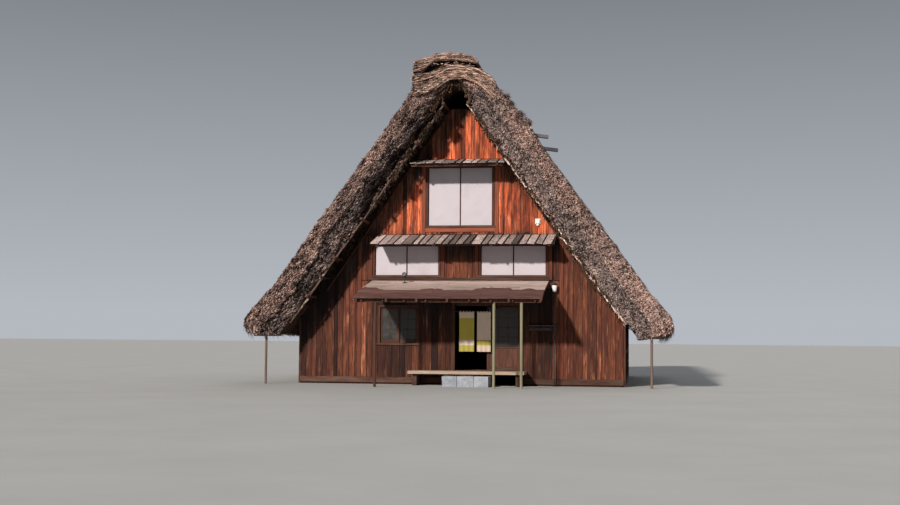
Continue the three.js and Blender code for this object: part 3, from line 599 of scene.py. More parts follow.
def edge_lines(step):
    """The inner and outer line at matching points, spaced step apart on average."""
    at = lengths_along((INNER_LINE + OUTER_LINE) / 2)
    where = np.linspace(0, at[-1], int(at[-1] / step) + 1)
    return picked(INNER_LINE, at, where), picked(OUTER_LINE, at, where)


def between_purlins(z):
    """From 0 at a purlin's height to 1 midway between two."""
    return np.abs(np.sin(math.pi * (z - PURLIN_HEIGHTS[0]) / PURLIN_STEP))


def verge_points(side, end, inner, outer, seed):
    """The verge's face as a grid of points, with their shade and tone."""
    left = side < 0
    s = np.linspace(0, 1, len(inner))[:, None]
    v = np.linspace(0, 1, VERGE_COLUMNS)[None, :]
    reach, cut = HOLLOWS[side]
    hollow = smooth(1 - s / reach)
    v = v + (1 - v) * cut * hollow
    if left:
        v = v * (1 - 0.06 * smooth(s / 0.1) * smooth((1 - s) / 0.2))

    along = xyz(s[:, 0] * 9, side, end)
    wander = (0.05 * noise(along, 1.1, seed + 70) + 0.035 * noise(along, 4.0, seed + 71))[:, None]
    low = smooth((s - 0.62) / 0.1) * smooth((0.98 - s) / 0.05) * left
    crease = 0.50 + wander - low * (0.16 - 0.06 * noise(along, 9.0, seed + 73)[:, None])
    within = 1 - smooth((v - crease) / 0.035 + 0.5)
    # A recess cut into the left verge near its inner edge, also painted darker: painted shade.
    shaded_recess = smooth((0.60 - s) / 0.12) * smooth((0.26 + 2 * wander - v) / 0.07 + 0.5) * left
    depth = within * (CREASE + VERGE_BEVEL * np.clip(1 - v / crease, 0, 1))
    depth = depth + low * 0.20 * smooth(1 - abs(v - crease + 0.03) / 0.05) + 0.24 * shaded_recess
    depth = depth + CORNER * np.clip((v - 0.86) / 0.14, 0, 1) ** 2 + 0.28 * hollow * (1 - v)

    face = inner[:, None] * (1 - v)[..., None] + outer[:, None] * v[..., None]
    bulge = (0.03 if left else 0.02) * between_purlins(inner[:, 1]) * smooth((inner[:, 1] - 2.6) / 0.5)
    face = face + (bulge[:, None] * (1 - v) ** 2)[..., None] * INTO
    x, z = side * face[..., 0], face[..., 1]
    crown = np.array(LOWER_CAP["under"])
    covered = (x > crown[0, 0] - 0.05) & (x < crown[-1, 0])
    depth = depth + 0.11 * covered * smooth(1 - abs(z - np.interp(x, *crown.T) + 0.03) / 0.17)
    points = xyz(x, EDGES[end] - end * depth, z)

    wide, blotch = (noise(points.reshape(-1, 3), cells, seed + number).reshape(x.shape)
                    for cells, number in ((2.2, 72), (6.5, 74)))
    # Painted shade: the face is made darker on the inner facet, in the left recess and in the hollow beside
    # the crown.
    if left:
        shade = 0.40 + 0.12 * wide + 0.12 * blotch - 0.10 * within - 0.22 * shaded_recess
        shade = shade - 0.10 * smooth(1 - s / 0.3) - 0.06 * smooth((s - 0.7) / 0.2)
    else:
        shade = 0.53 + 0.15 * wide + 0.18 * blotch - 0.04 * within
        shade = shade + 0.12 * smooth((s - 0.6) / 0.2) * (1 - within)
    shade = shade - 0.22 * hollow * (1 - v)
    tone = 0.15 + 0.75 * (1 - within) + 0.2 * wide + 0.5 * shaded_recess
    return points, np.clip(shade, 0, 1), np.clip(tone, 0, 1)


def clumped(roots, scale, seed, spread=0.3, middle=0.5, scatter=0.12):
    """A shade for each straw, alike within a clump."""
    shade = middle + spread * noise(roots, scale, seed) + normal(0, scatter, len(roots))
    return np.clip(shade, 0, 1)


def lengths_of(roots, low, high, least, gain, scale, seed):
    """A length for each straw, greater within some clumps."""
    clumps = np.clip(noise(roots, scale, seed), 0, 1)
    return (uniform(low, high, len(roots)) * (least + gain * clumps))[:, None]


def thatch(side, name):
    """One slope of the roof: its verges and surfaces, and the straw that stands off them."""
    left = side < 0
    seed = 5 if left else 55
    inner, outer = edge_lines(0.030)
    last = len(inner) - 1
    ends = {end: verge_points(side, end, inner, outer, seed) for end in EDGES}
    front, back = ends[-1][0], ends[1][0]

    faces = Build()
    for end, (points, shade, tone) in ends.items():
        faces.grid(shaken(points, LUMPS, seed), side * end < 0, shade=shade, tone=tone)
    piece(f"verge_{name}", faces, VERGE_STRAW[side], smooth=True, slot="thatch")

    roof = Build()
    share = np.linspace(0, 1, SLOPE_ROWS)[:, None, None]
    some = np.unique(np.append(np.arange(0, last + 1, 3), last))
    for line, flip, look in ((np.s_[:, -1], not left, {"tone": 0.5}),
                             (np.s_[-1], left, {"slot": 1, "tone": 0.3}),
                             (np.s_[some, 0], left, {"slot": 1, "tone": 0.6})):
        roof.grid(shaken(front[line] * (1 - share) + back[line] * share, LUMPS, seed), flip, **look)
    piece(f"thatch_{name}", roof, SLOPE_STRAW[side], UNDER_STRAW, smooth=True,
          stands_for=[f"thatch_{name}_slope"], slot="thatch")

    down = unit(np.gradient(outer, axis=0))
    downhill = xyz(side * down[:, 0], 0, down[:, 1])
    outward = xyz(-side * down[:, 1], 0, down[:, 0])
    into = np.array([side * INTO[0], 0, INTO[1]])
    slide = np.array([-side * INTO[1], 0, INTO[0]])

    cut = Build()
    lean, length = ((0.8, 2.2), (0.045, 0.105)) if left else ((0.1, 1.2), (0.025, 0.070))
    for end, count, fringe in ((-1, 9500, 4200), (1, 5200, 2400)):
        points, shades, tones = ends[end]
        row = random.integers(2, last, count)
        column = random.integers(0, VERGE_COLUMNS - 1, count)
        a, b = random.random((count, 1)), random.random((count, 1))
        near, far = (points[row, c] * (1 - a) + points[row + 1, c] * a for c in (column, column + 1))
        roots = shaken(near * (1 - b) + far * b, LUMPS, seed)
        reach = tousled(end * Y + downhill[row] * each(*lean, count), 0.25)
        clump = roots - 0.65 * (roots @ slide)[:, None] * slide if left else roots
        cut.stubs(roots - 0.03 * reach, reach * (each(*length, count) + 0.03), uniform(0.010, 0.026, count),
                  shade=clumped(clump, 13, seed, 0.42, shades[row, column], 0.20), tone=tones[row, column])

        row = random.integers(8, last, fringe)
        roots = shaken(points[row, -1], LUMPS, seed)
        roots[:, 1] -= end * uniform(-0.02, 0.30, fringe)
        reach = unit(end * Y * each(-0.2, 0.9, fringe) + downhill[row] * each(0.3, 1.5, fringe)
                     + outward[row] * each(0.0, 0.75, fringe))
        reach = reach * lengths_of(roots, 0.02, 0.09, 0.7, 0.9, 2.3, seed + 5)
        cut.straws(roots, reach, uniform(0.012, 0.028, fringe), shade=clumped(roots, 6, seed))

        row = random.integers(last // 6 if left else 6, last, fringe)
        roots = shaken(points[row, 0], LUMPS, seed)
        roots[:, 1] -= end * uniform(-0.03, 0.25, fringe)
        reach = unit(end * Y * each(0.0, 0.6, fringe) + downhill[row] * each(0.2, 1.0, fringe)
                     - outward[row] * each(0.1, 0.8, fringe))
        reach = reach * lengths_of(roots, 0.03, 0.11, 0.7, 1.1, 2.6, seed + 6) * (0.4 if left else 0.8)
        cut.straws(roots, reach, uniform(0.012, 0.028, fringe), shade=clumped(roots, 6, seed, middle=0.4),
                   tone=0.7)
    piece(f"verge_ends_{name}", cut, LOOSE_STRAW, slot="thatch")

    loose = Build()
    count = 20000
    row = random.integers(8, last, count)
    y = uniform(EDGES[-1] + 0.05, EDGES[1] - 0.05, count)
    roots = shaken(xyz(front[row, -1, 0], y, front[row, -1, 2]), LUMPS, seed)
    reach = tousled(downhill[row] + outward[row] * each(0.01, 0.09, count), 0.045)
    loose.straws(roots, reach * each(0.14, 0.42, count), uniform(0.010, 0.024, count),
                 shade=clumped(roots, 2.5, seed, spread=0.2, middle=0.36, scatter=0.08), tone=0.4)
    count = 7000
    column = random.integers(0, VERGE_COLUMNS, count)
    roots = xyz(front[-1, column, 0], uniform(EDGES[-1], EDGES[1], count), front[-1, column, 2])
    reach = tousled(-Z * each(0.5, 1.2, count) + side * X * each(-0.2, 0.7, count), 0.2)
    loose.straws(shaken(roots, LUMPS, seed), reach * each(0.03, 0.10, count), uniform(0.010, 0.026, count),
                 shade=clumped(roots, 6, seed, middle=0.42))
    count = 300
    for x, z, size, length in () if left else TUFTS:
        roots = np.array([x, TUFT_Y, z]) + normal(scale=(size / 2, 0.10, size / 2), size=(count, 3))
        reach = tousled(np.full((count, 3), (0.90, -0.10, -0.42)), 0.20)
        loose.straws(roots, reach * each(0.4, 1.0, count) * length, uniform(0.014, 0.034, count),
                     shade=clumped(roots, 9, seed, middle=0.30), tone=0.4)
    piece(f"slope_straws_{name}", loose, LOOSE_STRAW, slot="thatch")

    soffit = Build()
    for (end, wall, _), count in zip(GABLES, (3600, 2400)):
        z = uniform(2.3, 7.75, count)
        out = uniform(0.05, VERGE - (0.45 if left else 0.18), count)
        roots = xyz(side * inner_x(z), wall + end * out, z) + into * 0.08 * between_purlins(z)[:, None]
        reach = tousled(slide * each(0.4, 1.0, count) + into * each(0.1, 0.7, count) + end * Y * 0.2, 0.22)
        # Painted shade: on the left these straws are made darker, for the shade of the left overhang.
        soffit.stubs(roots - into * 0.02, reach * lengths_of(roots, 0.05, 0.15, 0.8, 1.2, 3, seed + 8),
                     uniform(0.008, 0.020, count),
                     shade=clumped(roots, 7, seed, middle=0.15 if left else 0.45), tone=0.3 if left else 0.8)
        count = 420
        for x, z, size in SHEAVES if left else ():
            roots = np.array([x, wall + end * 0.92, z]) + slide * each(-size, size, count)
            roots += into * each(-0.06, 0.07, count) + end * Y * each(-0.25, 0.12, count)
            reach = tousled(slide * each(0.3, 1.0, count) + into * each(0.2, 1.0, count), 0.25)
            soffit.stubs(roots, reach * each(0.04, 0.12, count), uniform(0.008, 0.020, count),
                         shade=clumped(roots, 9, seed, spread=0.45, middle=0.30), tone=0.45)
        x = uniform(-0.85, 0.12, 420) if left else uniform(0.10, 0.50, 160)
        count = len(x)
        z = 8.42 - np.abs(x) * uniform(0.7, 1.3, count)
        roots = xyz(x, wall + end * uniform(0.75, 1.02, count), z)
        reach = tousled(np.full((count, 3), (side * 0.5, end * 0.5, -0.8)), 0.5)
        soffit.stubs(roots, reach * each(0.06, 0.22, count), uniform(0.010, 0.024, count),
                     shade=clumped(roots, 7, seed, middle=0.5), tone=0.9)
    piece(f"soffit_straws_{name}", soffit, UNDER_STRAW, slot="thatch")


# Ridge: two layers of straw laid over the crown, from left to right

CAP_ENDS = {-1: EDGES[-1] - 0.06, 1: EDGES[1] + 0.06}
CAP_COLUMNS = 26
CROWN = [(-0.38, 8.24), (-0.18, 8.37), (0.06, 8.40), (0.36, 8.38), (0.64, 8.27), (0.84, 8.10), (1.00, 7.98)]
LOWER_CAP = {
    "top": [(-1.20, 8.50), (-0.78, 8.57), (-0.47, 8.64), (-0.11, 8.77), (0.24, 8.74), (0.66, 8.64),
            (0.99, 8.42), (1.13, 8.20)],
    "under": [(-1.18, 8.00), (-0.90, 7.96), (-0.54, 8.08), *CROWN],
    "fan": [(-1.24, 7.62), (-0.90, 7.84), (-0.60, 8.06), *CROWN],
}
UPPER_CAP = {
    "top": [(-1.10, 8.90), (-0.68, 8.99), (-0.50, 9.06), (-0.22, 9.09), (0.08, 9.07), (0.44, 8.98),
            (0.59, 8.88)],
    "under": [(-1.19, 8.57), (-0.94, 8.60), (-0.76, 8.75), (-0.62, 8.87), (-0.42, 8.90), (-0.20, 8.93),
              (0.08, 8.92), (0.36, 8.88), (0.60, 8.81)],
}
BUNDLE_GAP = 0.050
# How much of the layer's thickness its solid core takes up
CORE_REACH = 0.86
FILLING = [(-0.95, 8.50), (-0.3, 8.60), (0.3, 8.62), (0.50, 8.58), (0.46, 8.88), (0.0, 8.95), (-0.6, 8.90),
           (-1.02, 8.72)]
STEMS = [(0.10, 8.40), (0.40, 8.37), (0.68, 8.22), (0.92, 8.00), (1.22, 7.72)]


def even(line, count):
    """A broken line as evenly spaced points."""
    at = lengths_along(line)
    dense = picked(line, at, np.linspace(0, at[-1], int(at[-1] / 0.02) + 1))
    return picked(dense, np.arange(len(dense)), np.linspace(0, len(dense) - 1, count))


def body_along_ridge(outline, inset, rings):
    """Rings of the outline from the front to the back end of the ridge."""
    x, z = np.transpose(outline)
    return xyz(x, np.linspace(CAP_ENDS[-1] + inset, CAP_ENDS[1] - inset, rings)[:, None], z)


def cap(name, outline, right_reach, seed, straws, ends_shade, stands_for):
    """One layer of the ridge: bundles of straw laid across, fanning out from the top of the crown."""
    share = np.linspace(0, 1, CAP_COLUMNS)
    top, under = even(outline["top"], CAP_COLUMNS), even(outline["under"], CAP_COLUMNS)
    fan = even(outline.get("fan", outline["under"]), CAP_COLUMNS)
    middle = (top + under) / 2
    build = Build()
    # Painted shade: the solid core is dark straw, for the shade in the gaps between the bundles.
    core = np.concatenate([middle + (top - middle) * CORE_REACH,
                           (middle + (under - middle) * CORE_REACH)[::-1]])
    build.loft(shaken(body_along_ridge(core, 0.07, 40), [(3.0, 0.02), (11.0, 0.012)], seed), shade=0.3,
               slot=1)

    def bundle(q, y, radius, start, stop, shade, tone):
        """One bundle of straw at share q of the way from the under side to the top."""
        at = np.linspace(start, stop, max(4, int((stop - start) * CAP_COLUMNS)))
        x, z = picked(fan * (1 - q) + top * q, share, at).T
        inside = z > np.interp(x, *under.T) - 0.005
        if inside.sum() < 4:
            return
        at = at[inside]
        waves = [(1.8, 0.024), (6.0, 0.020), (15.0, 0.009)]
        path = shaken(xyz(x, y, z)[inside], waves, seed + int(1000 * q) + int(97 * y) % 89)
        taper = np.clip(np.minimum(at - at[0], at[-1] - at) / 0.05, 0.35, 1)
        build.pole(path, taper * radius, sides=5, shade=shade, tone=tone)

    height = np.linalg.norm(top - under, axis=1).mean()
    for depth in (0.045, 0.090):
        for face in (CAP_ENDS[-1] + depth, CAP_ENDS[1] - depth):
            for q in np.arange(0.02, 0.98, BUNDLE_GAP / height):
                band = 0.58 + 0.24 * noise([(q * height * 7, face, 0.0)], 1.0, seed)[0]
                parts = random.choice([1, 2, 3, 4], p=[0.30, 0.30, 0.25, 0.15])
                breaks = np.linspace(0, 1, parts + 1)
                breaks[1:-1] += uniform(-0.45, 0.45, parts - 1) / parts
                out = 0.035 * noise([(q * height * 9, face, number) for number in (1.0, 5.0)], 1.0, seed + 1)
                for a, b in itertools.pairwise(breaks):
                    left, right = smooth((0.34 - (a + b) / 2) / 0.2), smooth(((a + b) / 2 - 0.70) / 0.2)
                    shade = band - ends_shade[0] * left - ends_shade[1] * right
                    bundle(q + uniform(-0.02, 0.02), face + uniform(-0.020, 0.030), uniform(0.017, 0.034),
                           max(0, a - 0.04) + 0.025 + out[0] + uniform(-0.02, 0.02),
                           min(1, b + 0.04) - 0.025 + out[1] - uniform(-0.02, 0.02),
                           around(shade, 0.28, low=0.02), around(0.65, 0.2))
    for y in np.arange(CAP_ENDS[-1] + 0.08, CAP_ENDS[1] - 0.06, 0.062):
        for q in (0.96, 0.80) if random.random() < 0.4 else (0.96,):
            bundle(q, y + uniform(-0.015, 0.015), uniform(0.024, 0.040), uniform(0, 0.04),
                   1 - uniform(0, 0.04), around(0.42, 0.22), 0.4)
    piece(name, build, CAP_STRAW, UNDER_STRAW, smooth=True, stands_for=[stands_for], slot="ridge_straw")

    fuzz = Build()
    rise = np.gradient(top[:, 1]) / np.maximum(np.gradient(top[:, 0]), 0.02)

    def laid(t, scatter, off, longest):
        """The reach of straws laid down either slope of the layer, shorter towards its ends."""
        lean = unit(xyz(1, 0, np.interp(t, share, rise))) * np.where(t < 0.5, -1, 1)[:, None]
        reach = tousled(lean + off, scatter)
        return reach * np.minimum(uniform(0.08, longest, len(t)), 0.05 + 1.2 * np.minimum(t, 1 - t))[:, None]

    for count, end in ((straws, -1), (straws // 2, 1)):
        t, q = random.random(count), random.random(count)
        low, high = picked(under, share, t).T, picked(top, share, t).T
        x, z = low * (1 - q) + high * q
        roots = xyz(x, CAP_ENDS[end] - end * (0.03 + uniform(-0.01, 0.04, count)), z)
        fuzz.stubs(roots, laid(t, 0.12, end * Y * 0.1, 0.28), uniform(0.005, 0.012, count),
                   shade=around(0.5, 0.25, count), slot=1, tone=0.7)
    count = 6500
    t = random.random(count)
    x, z = picked(top, share, t).T
    roots = xyz(x, uniform(CAP_ENDS[-1] + 0.05, CAP_ENDS[1] - 0.05, count), z + 0.005)
    fuzz.straws(roots, laid(t, 0.10, 0.02 * Z, 0.24), uniform(0.012, 0.024, count),
                shade=around(0.45, 0.25, count), tone=0.4)
    count = 3200
    for side, index, longest in ((-1, 0, 0.06), (1, -1, right_reach)):
        q = random.random(count)
        x, z = (under[index, axis] * (1 - q) + top[index, axis] * q for axis in range(2))
        x = x - side * uniform(0.0, 0.06, count)
        roots = xyz(x, uniform(CAP_ENDS[-1] + 0.02, CAP_ENDS[1] - 0.02, count), z)
        reach = tousled(side * X * each(0.4, 1.0, count) - Z * each(0.1, 1.1, count), 0.16)
        fuzz.straws(roots, reach * each(0.03, longest, count), uniform(0.012, 0.026, count),
                    shade=around(0.45, 0.25, count), tone=0.4)
    piece(f"{name}_straws", fuzz, LOOSE_STRAW, CAP_STRAW, slot="ridge_straw")


def cap_filling():
    """Packing between the two layers, painted dark for the shade in the gap between them, and long stems
    along the lower layer's right side.
    """
    build = Build()
    build.loft(shaken(body_along_ridge(FILLING, 0.20, 30), [(3.0, 0.03), (9.0, 0.03)], 77), shade=0.1,
               tone=0.1)
    stem = even(STEMS, 14)
    for end, face in CAP_ENDS.items():
        count = 46
        roots = xyz(uniform(-0.70, 0.55, count), face - end * uniform(0.06, 0.16, count),
                    uniform(8.76, 8.90, count))
        reach = unit(normal(scale=(1.0, 0.3, 0.35), size=(count, 3)))
        build.stubs(roots, reach * each(0.05, 0.16, count), uniform(0.008, 0.018, count),
                    shade=uniform(0.1, 0.9, count), slot=1, tone=0.7)
        for _ in range(18):
            at = np.linspace(uniform(0.0, 0.25), uniform(0.75, 1.0), 8)
            x, z = picked(stem, np.linspace(0, 1, len(stem)), at).T
            lift = uniform(-0.05, 0.16)
            path = xyz(x + 0.3 * lift, face - end * uniform(0.01, 0.06), z + lift)
            build.pole(shaken(path, [(2.0, 0.02)], int(random.integers(1000))), uniform(0.008, 0.015),
                       sides=4, shade=uniform(0.2, 0.85), slot=1, tone=0.9)
    piece("cap_filling", build, UNDER_STRAW, CAP_STRAW, slot="ridge_straw")


# Roof timbers under the overhangs, and the poles along the inner edges


def under_thatch(side, y, z, off):
    """Points inside the thatch's inner line at these heights, off away from it."""
    return xyz(side * (inner_x(z) + INTO[0] * off), y, z + INTO[1] * off)


def overhang_timbers(end, wall, where):
    """Purlin ends and rafters under one overhang, and poles along its verges and the gable boards."""
    build = Build()
    for side, _ in SIDES:
        for z in PURLIN_HEIGHTS:
            stop, radius = EDGES[end] - end * uniform(0.10, 0.26), uniform(0.036, 0.050)
            build.pole(under_thatch(side, np.linspace(wall + end * 0.01, stop, 6), z, 0.035), radius, sides=8,
                       wobble=0.010, shade=uniform(0.4, 0.9), seed=int(z * 50))
        for back in (0.62, 0.88):
            build.pole(under_thatch(side, EDGES[end] - end * back, np.linspace(2.30, 7.7, 24), 0.02), 0.030,
                       sides=6, wobble=0.010, shade=uniform(0.3, 0.7), seed=3)
    piece(f"{where}_purlins", build, TIMBER_Y, smooth=True, slot="dark_timber")

    rim = Build()
    names = []
    for side, which in SIDES:
        low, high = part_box(f"verge_rafter_{where}_{which}")
        names.append(f"verge_rafter_{where}_{which}")
        _, y = centre_of(low, high)
        x_foot, x_head = (high.x, low.x) if side > 0 else (low.x, high.x)
        foot = np.array([x_foot - side * 0.045, y, low.z + 0.03])
        head = np.array([x_head + side * 0.045, y, high.z - 0.03])
        head = head + (foot - head) * max(0, (head[2] - RIM_TOP_Z) / (head[2] - foot[2]))
        path = np.linspace(foot, head, 60)
        path[:, 0] += 0.014 * np.sin(np.linspace(0, 17, 60))
        # Painted shade: on the left the pole takes the darker grey finish, and its flakes a darker shade.
        rim.pole(path, (0.024 if side < 0 else 0.034) + 0.006 * np.sin(np.linspace(0, 9, 60)), wobble=0.012,
                 shade=0.45, slot=2 if side < 0 else 0, seed=9)
        along = unit(head - foot)
        across = unit(np.cross(along, Y)) * side
        t = 0.0
        while t < np.linalg.norm(head - foot):
            spot = foot + along * t
            thick = 0.55 + 0.6 * noise([spot], 1.3, 12)[0]
            t += uniform(0.05, 0.13) * (1.5 - 0.5 * thick)
            if thick < 0.35 or (side < 0 and (spot[2] > 6.9 or random.random() < 0.85)):
                continue
            half = unit(along + normal(scale=0.22, size=3) * (1, 0.5, 1)) * uniform(0.07, 0.21) / 2
            centre = spot + across * uniform(-0.02, 0.045) + Y * end * uniform(0.035, 0.085)
            rim.beam(centre - half, centre + half, uniform(0.026, 0.070) * thick, 0.012,
                     up=tousled(Y * end, 0.3), chamfer=0.003, slot=1,
                     shade=around(0.66 if side > 0 else 0.2, 0.28), tone=random.random())
    piece(f"{where}_rim_poles", rim, PALE_POLE, FLAKES, GREY_POLE, stands_for=names, slot="pale_pole")

    trim = Build()
    for side, _ in SIDES:
        foot, head = ((side * (inner_x(z) - off), wall + end * 0.055, z)
                      for z, off in ((2.62, 0.24), (7.70, 0.10)))
        trim.pole(np.linspace(foot, head, 40), 0.027, sides=8, wobble=0.006, shade=0.3, seed=4)
    piece(f"{where}_wall_poles", trim, TIMBER_Z, smooth=True, slot="dark_timber")


# Boarded walls

GABLE_LINE = np.array([GABLE_TOP, (inner_x(TOP_ROW_Z), TOP_ROW_Z), INNER_BEND, INNER_FOOT])
SEAM = 0.006
SILL_Z = 0.05
# Half the width of the middle and ground rows between the gable's two posts
INNER_HALF = 2.82


def gable_line(x):
    """The top of the boarding over a place on the gable."""
    return np.interp(abs(x), *GABLE_LINE.T)


def board_edges(x0, x1, stops=()):
    """Places where boards meet, with an edge at every stop."""
    marks = sorted({x0, x1, *[s for s in stops if x0 < s < x1]})
    edges = [x0]
    for a, b in itertools.pairwise(marks):
        count = max(1, round((b - a) / uniform(0.13, 0.25)))
        inside = np.linspace(a, b, count + 1)[1:]
        inside[:-1] += uniform(-0.22, 0.22, count - 1) * (b - a) / count
        edges.extend(inside.tolist())
    return edges


def grown(window):
    """A window with its frame."""
    x0, x1, z0, z1 = window
    return x0 - FRAME_BAR, x1 + FRAME_BAR, z0 - FRAME_BAR, z1 + FRAME_BAR


def gable_wall(end, wall, where):
    """Boards in four rows on one gable, and the posts and rails over them."""
    boards = Build()

    def row(x0, x1, bottom, top, holes=(), shaded_span=(0.0, 0.0)):
        """Upright boards from bottom to the line that top gives; the last argument is where a roof's painted
        shade lies on them.
        """
        for a, b in itertools.pairwise(board_edges(x0, x1, [x for hole in holes for x in hole[:2]])):
            middle = (a + b) / 2
            spans = [(bottom, None)]
            for left, right, low, high in holes:
                if left < middle < right:
                    spans = [(bottom, low), (high, None)]
            shade = around(0.5, 0.24)
            # Painted shade: the boards under the awning are made half as bright.
            if abs(middle) < AWNING_HALF and top(middle) < MIDDLE_ROW_Z:
                shade *= 0.5
            y = wall + end * (uniform(-0.004, 0.004) - 0.004)
            for low, high in spans:
                tops = (top(a), top(b)) if high is None else (high, high)
                if min(tops) - low < 0.03:
                    continue
                tip = uniform(-0.002, 0.002)
                near, far = (a + SEAM, y + tip), (b - SEAM, y - tip)
                outline = [(*near, low), (*far, low), (*far, tops[1] - 0.004), (*near, tops[0] - 0.004)]
                # tone is 1 on the boards that take a roof's painted shade.
                boards.slab(outline, (0, end * 0.020, 0), shade=np.clip(shade + uniform(-0.08, 0.08), 0, 1),
                            tone=float(shaded_span[0] < middle < shaded_span[1]))

    edge = inner_x(TOP_ROW_Z) - 0.01
    row(-edge, edge, TOP_ROW_Z + 0.01, gable_line)
    edge = inner_x(UPPER_ROW_Z) - 0.03
    row(-edge, edge, UPPER_ROW_Z + 0.01, lambda x: min(inner_z(x), TOP_ROW_Z) - 0.01, [grown(UPPER_WINDOW)],
        (UPPER_PENT[0], UPPER_PENT[1] + PENT_SHADOW))
    row(-INNER_HALF, INNER_HALF, MIDDLE_ROW_Z + 0.01, lambda x: UPPER_ROW_Z - 0.01,
        [grown(LEFT_WINDOW), grown(RIGHT_WINDOW)], MIDDLE_PENT[:2])
    for a, b in ((-HALF_WIDTH, -INNER_HALF), (INNER_HALF, HALF_WIDTH)):
        row(a, b, SILL_Z, lambda x: min(gable_line(x), UPPER_ROW_Z) - 0.01)
    door_left, door_right = DOOR_X0 - JAMB, DOOR_X1 + JAMB
    # On the front, the ground row under the awning takes the awning's painted shade.
    holes, shaded_span = [], (0.0, 0.0)
    if end < 0:
        holes = [grown(GROUND_WINDOW), (door_left, door_right, -1, DOOR_TOP + JAMB)]
        shaded_span = (-AWNING_HALF, AWNING_HALF)
    row(-INNER_HALF, INNER_HALF, SILL_Z, lambda x: MIDDLE_ROW_Z - 0.01, holes, shaded_span)
    piece(f"{where}_boards", boards, RED, slot="red_boards")

    trim = Build()
    proud = wall + end * 0.022

    def posts(places, z0, z1, width, pale=1.0):
        for x in places:
            trim.upright(x, proud, z0, z1, width, 0.035, shade=pale * uniform(0.35, 0.75))

    def rail(x0, x1, z, height, slot=2):
        trim.level(x0, x1, proud, z, 0.045, height, slot=slot, shade=uniform(0.35, 0.75))

    posts((-1.035, 1.035), UPPER_ROW_Z + 0.02, TOP_ROW_Z - 0.03, 0.115)
    posts((1.20,), UPPER_ROW_Z + 0.02, TOP_ROW_Z - 0.45, 0.05)
    rail(-0.98, 0.98, 4.33, 0.11, slot=1)
    outer, inner, head_z = 2.54, 0.48, 4.02
    # Painted shade: the middle row's posts are made darker, for the pent's shade over them.
    posts((-outer, -inner, inner, outer), MIDDLE_ROW_Z + 0.02, UPPER_ROW_Z - 0.06, 0.10, pale=0.1)
    rail(-outer, outer, 2.955, 0.06)
    rail(-outer, -inner, head_z, 0.10)
    rail(inner, outer, head_z, 0.10)
    # The outer posts are made darker too.
    posts((-2.85, 2.85), SILL_Z, UPPER_ROW_Z - 0.05, 0.10, pale=0.4)
    skirts = [(-HALF_WIDTH, door_left), (door_right, HALF_WIDTH)]
    if end > 0:
        skirts.append((door_left, door_right))
    for x0, x1 in skirts:
        rail(x0, x1, 0.12, 0.16)
    piece(f"{where}_trim", trim, RED_TIMBER_Z, RED_TIMBER_X, TIMBER_X, slot="dark_timber")


def side_boards(side, name):
    """Upright boards on a side wall, with three rails and a row of posts."""
    height = gable_line(HALF_WIDTH) - 0.03
    build = Build()
    for a, b in itertools.pairwise(board_edges(FRONT + 0.02, BACK - 0.02)):
        x = side * (HALF_WIDTH - 0.004) + uniform(-0.003, 0.003)
        near, far = (x, a + SEAM / 2), (x, b - SEAM / 2)
        outline = [(*near, SILL_Z), (*far, SILL_Z), (*far, height), (*near, height)]
        build.slab(outline, (side * 0.020, 0, 0), shade=around(0.42, 0.22), tone=0.0)
    x = side * (HALF_WIDTH + 0.03)
    for z in (0.14, 0.95, 1.72):
        build.beam((x, FRONT + 0.02, z), (x, BACK - 0.02, z), 0.045, 0.09, shade=0.3, slot=1)
    x = side * (HALF_WIDTH + 0.02)
    for y in np.linspace(FRONT + 0.06, BACK - 0.06, 7):
        build.beam((x, y, 0.0), (x, y, height), 0.10, 0.07, up=X, shade=0.35, slot=2)
    piece(f"side_boards_{name}", build, RED, TIMBER_Y, TIMBER_Z, slot="red_boards")


# Pent roofs and the awning


